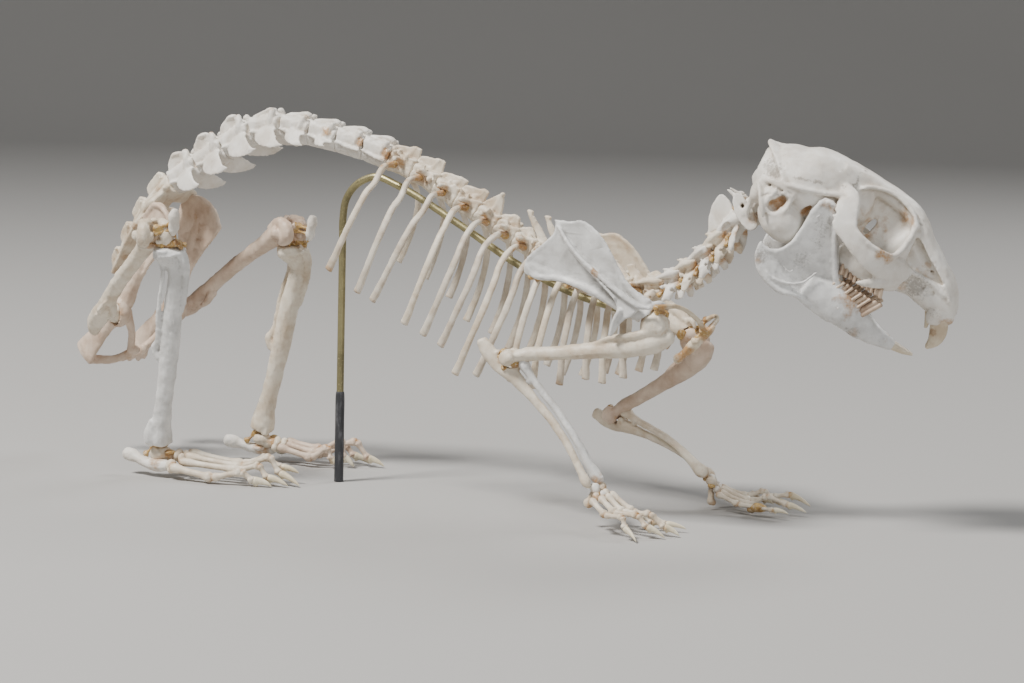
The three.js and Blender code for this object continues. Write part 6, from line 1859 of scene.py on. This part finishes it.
# Teeth: grooved upper front teeth with small ones behind them, slim tan lower ones that jut
# forward, and rows of cheek teeth, each two upright ribs of tan enamel side by side.
enamel = bone_paint("tooth_enamel", (0.78, 0.7, 0.54), (0.4, 0.26, 0.14), 0.6, 1.0, 1.1, 0.04, (0.25, 0.13, 0.05))
CHEEK_TEETH = 5
cheek_enamel = bone_paint(
    "cheek_tooth_enamel", (0.6, 0.47, 0.35), (0.26, 0.15, 0.09), 0.8, 1.0, 1.0, 0.05, (0.13, 0.07, 0.04),
)
for s, side_name in SIDES:
    front_tooth = bar([
        (34.2, s * 1.0, 2.9, 0.75, 1.5), (35.4, s * 1.0, 1.4, 0.8, 1.5), (36.2, s * 0.95, -0.2, 0.76, 1.45),
        (36.4, s * 0.9, -1.7, 0.66, 1.1), (36.0, s * 0.85, -3.2, 0.45, 0.35),
    ], 26, 18)
    groove = bar([
        (36.8, s * 1.2, 2.4, 0.16, 0.3), (37.7, s * 1.2, 0.4, 0.16, 0.3), (37.7, s * 1.1, -1.4, 0.16, 0.3),
        (36.8, s * 1.0, -3.4, 0.12, 0.25),
    ], 18, 8)
    made = grown(seated([front_tooth], *head_seat), 0.13, 1, seated([groove], *head_seat), 0.5)
    set_bone(
        f"upper_front_tooth_{side_name}", made, enamel, head_marks([(34.9, 1.7, -0.6, 1.4, 0.7)], s),
        0.03,
    )
    peg = bar([
        (32.9, s * 0.8, 1.8, 0.4, 0.5), (33.6, s * 0.8, 0.6, 0.38, 0.45), (34.0, s * 0.8, -0.5, 0.28, 0.25),
    ], 12, 12)
    made = seated([peg], *head_seat)[0]
    set_bone(f"upper_peg_tooth_{side_name}", made, enamel, (), 0.02)
    low_tooth = bar([
        (29.4, s * 0.85, -6.2, 0.66, 0.85), (31.4, s * 0.85, -6.05, 0.62, 0.72), (33.4, s * 0.8, -5.8, 0.52, 0.48),
        (34.7, s * 0.75, -5.55, 0.36, 0.2),
    ], 20, 16)
    made = seated([low_tooth], *head_seat)[0]
    set_bone(
        f"lower_front_tooth_{side_name}", made, enamel, head_marks([(30.6, 0.9, -6, 1.2, 0.6)], s),
        0.03,
    )
    for row, place_tooth in (
        (
            "upper",
            lambda k: (
                (17.4 + 1.6 * k, 4.9 - 0.14 * k, 1.2), (17.9 + 1.65 * k, 5.0 - 0.14 * k, -0.6 + 0.06 * k),
                0.64 + 0.1 * (k == CHEEK_TEETH - 1),
            ),
        ),
        (
            "lower",
            lambda k: (
                (17.2 + 1.6 * k, 5.3 - 0.3 * k, -4.0 - 0.1 * k),
                (
                    18.3 + 1.68 * k + 0.3 * (k == CHEEK_TEETH - 1), 5.2 - 0.28 * k,
                    -1.3 + 0.25 * (k == CHEEK_TEETH - 1),
                ),
                0.62 + 0.22 * (k == CHEEK_TEETH - 1),
            ),
        ),
    ):
        for k in range(CHEEK_TEETH):
            (x, y, z), (tx, ty, tz), girth = place_tooth(k)
            tooth = []
            for shift in (-0.45, 0.45):
                tooth.append(bar([
                    (x + shift, s * y, z, 0.95, girth * 0.56),
                    ((x + tx) / 2 + shift, s * (y + ty) / 2, (z + tz) / 2, 1.0, girth * 0.56),
                    (tx + shift, s * ty, tz, 0.95, girth * 0.54),
                ], 8, 12, (0, 1, 0), 2.4, 0.15))
            made = grown(seated(tooth, *head_seat), 0.14, 1, keep=0.6)
            set_bone(
                f"{row}_cheek_tooth_{k + 1}_{side_name}", made, cheek_enamel,
                head_marks([(x, y, z, 1.4, 0.9)], s), 0.03,
            )

# Old hide glue and dried gristle, which hold the skeleton together: beads at the rib heads and
# wrists, and webs of it in the knees, elbows, shoulders and hips. It is amber, hard and shiny.
resin, tree, shader = new_paint("old_hide_glue")
here = add_node(tree, "ShaderNodeTexCoord").outputs["Object"]
depth = mottling(tree, here, 700, 4, 0.6)
crust = mottling(tree, here, 2600, 4, 0.7)
tone = blend_colours(tree, spread(tree, depth, 0, 1, 0.36, 0.66), (0.54, 0.35, 0.11, 1), (0.24, 0.11, 0.03, 1))
tone = blend_colours(tree, spread(tree, crust, 0, 0.85, 0.5, 0.66), tone, (0.62, 0.52, 0.36, 1))
dress(tree, shader, tone, spread(tree, crust, 0.28, 0.6, 0.4, 0.65), maths(tree, "ADD", depth, crust), 0.6, 0.12)


GLUE_GAP = 0.03


def set_glue(name, lumps, grain=0.15, lumpy=0.12):
    points, faces = grown(lumps, grain, 1, keep=0.6)
    points = points + np.array([noise.noise_vector(Vector(p) * 1.3) * lumpy for p in points])
    points[:, 2] = np.maximum(points[:, 2], GLUE_GAP)
    return put(name, (points, faces), resin)


def strand(start, end, thick, sag=0.4):
    start, end = np.asarray(start, float), np.asarray(end, float)
    middle = (start + end) / 2 - (0, 0, sag)
    return bar([(*start, thick * 1.5), (*middle, thick * 0.6), (*end, thick * 1.5)], 10, 8, (0.3, 0.8, 0.5))


for sign, side_name in SIDES:
    hip, knee, plateau, ankle = [np.array(joint[side_name], float) for joint in (HIP, KNEE, PLATEAU, ANKLE)]
    shin = unit(ankle - plateau)
    axis = unit(knee - hip)
    hinge = unit(np.cross(axis, shin))
    cap = knee + KNEECAP[side_name]
    lumps = [knob(plateau - shin * 0.5, (1.5, 1.5, 0.9)), knob(plateau - shin * 0.7 + (1.5, 0, 0), (1.0, 1.3, 0.7))]
    for reach in (-1.7, -0.6, 0.7, 1.8):
        lumps.append(strand(knee + hinge * reach + shin * 1.8, plateau + hinge * reach * 1.2 + (0.9, 0, 0.2), 0.3, 0))
    lumps += [
        strand(knee + axis * 1.6, cap - (0.2, 0, 0), 0.45, 0),
        strand(knee + axis * 1.8 + shin * 1.0, cap + shin * 1.2, 0.45, 0),
        strand(knee + axis * 1.6 + hinge * 1.2, cap + shin * 0.4, 0.3, 0),
        strand(cap + shin * 2.0, plateau + (2.6, 0, -0.2), 0.3, 0),
    ]
    set_glue(f"knee_glue_{side_name}", lumps)
    turned = math.radians(HIND_TURN[side_name])
    ahead = np.array([math.cos(turned), math.sin(turned), 0])
    set_glue(
        f"ankle_glue_{side_name}",
        [
            knob(ankle - (0, 0, 0.2), (1.7, 1.5, 0.5)), knob(ankle + ahead * 2.2 - (0, 0, 1.4), (0.9, 1.2, 0.5)),
            strand(ankle - ahead * 1.4 - (0, 0, 0.8), ankle - ahead * 2.9 - (0, 0, 2.2), 0.45, 0),
        ],
    )
    shoulder, elbow, wrist = [np.array(joint[side_name], float) for joint in (SHOULDER, ELBOW, WRIST)]
    collar = [np.array(point) for point in COLLAR[side_name]]
    set_glue(f"shoulder_glue_{side_name}", [
        strand(shoulder + (-0.6, 0, 2.2), shoulder + (1.2, 0.4 * sign, 2.6), 0.5, 0),
        knob(shoulder + (1.2, -0.8 * sign, 1.8), (0.9, 0.9, 0.8)),
        knob(shoulder + (-1.6, -1.6 * sign, 1.2), (1.0, 0.8, 0.9)),
        strand(collar[0], shoulder + (0.8, 1.2 * sign, 2.4), 0.4, 0), knob(collar[0], (0.6, 0.6, 0.6)),
    ])
    set_glue(
        f"elbow_glue_{side_name}",
        [
            knob(elbow + (1.3, 0.3 * sign, -1.0), (0.8, 1.4, 0.6)),
            strand(elbow + (-1.4, sign, 0.2), elbow + (-0.6, sign, -1.8), 0.35, 0),
            knob(elbow + (-1.2, 0, 0.9), (0.6, 0.9, 0.6)),
        ],
    )
    set_glue(
        f"wrist_glue_{side_name}",
        [
            knob(wrist - (0, 0, 0.7), (0.9, 1.0, 0.5)), knob(wrist + (1.0, -0.6, -1.6), (0.7, 0.9, 0.5)),
            knob(wrist + (0.6, 1.0, -1.5), (0.6, 0.6, 0.5)),
        ],
    )
    set_glue(
        f"hip_glue_{side_name}",
        [knob(hip - (0, sign * 1.6, 0), (2.1, 0.9, 2.1)), knob(hip + (1.4, -sign * 1.2, -1.2), (0.7, 0.8, 0.7))],
    )

    # beads where the ribs meet the backbone, and where the shoulder blades rest on the ribs
    beads = []
    for i in range(RIBS):
        rows = rib_rows(i, sign)
        size = 0.62 + 0.2 * abs(math.sin(i * 1.7 + sign))
        beads += [
            knob(rows[0][:3], (size, size * 0.9, size * 0.8)),
            knob(np.array(rows[1][:3]) + (0, -0.3 * sign, -0.1), (size * 0.7, size * 0.9, size * 0.6)),
        ]
    set_glue(f"rib_head_glue_{side_name}", beads)
    ties = []
    for i, share in ((8, 0.36), (10, 0.3), (12, 0.3)):
        spot = spline(rib_rows(i, sign), share)[0][:3]
        blade_face = np.array([spot[0] + 0.6, lie_of[side_name](spot[0] + 0.6, spot[2] + 0.8), spot[2] + 0.8])
        ties.append(strand(spot, blade_face, 0.45, 0))
    set_glue(f"blade_ties_{side_name}", ties)

set_glue(
    "breast_glue",
    [
        knob((39.9, 0.1, 32.6), (0.9, 1.5, 0.8)), knob((38.2, 0.2, 31.2), (0.8, 0.8, 0.7)),
        strand((39.9, -1.4, 33.0), (38.6, -0.6, 31.6), 0.35, 0),
    ],
)
set_glue(
    "neck_glue",
    [
        knob(on_head(-1.6, -1.6, -0.4), (0.8, 0.7, 0.7)), knob(on_head(-1.6, 1.6, -0.4), (0.8, 0.7, 0.7)),
        knob(on_head(-2.6, 0.6, -1.4), (0.9, 1.2, 0.6)),
    ],
)
webs = []
for k, at in enumerate(neck_start + np.cumsum(neck_lengths)[:-2]):
    centre, along, left, high = [np.asarray(way, float) for way in on_backbone(at)]
    for side in (-1, 1):
        webs.append(knob(centre + left * side * (1.7 + 0.2 * math.sin(k)) - high * 0.3, (0.5, 0.75, 0.7)))
        webs.append(strand(
            centre - along * 0.9 + left * side * 2.3 - high * 0.9,
            centre + along * 0.9 + left * side * 2.1 - high * 0.4, 0.34, 0,
        ))
set_glue("neck_webs", webs, 0.15, 0.16)
set_glue("paw_glue_bead", [knob((46, 11.5, 1.7), (1.5, 0.9, 0.8)), knob((44.6, 11.8, 1.2), (0.9, 0.7, 0.6))])
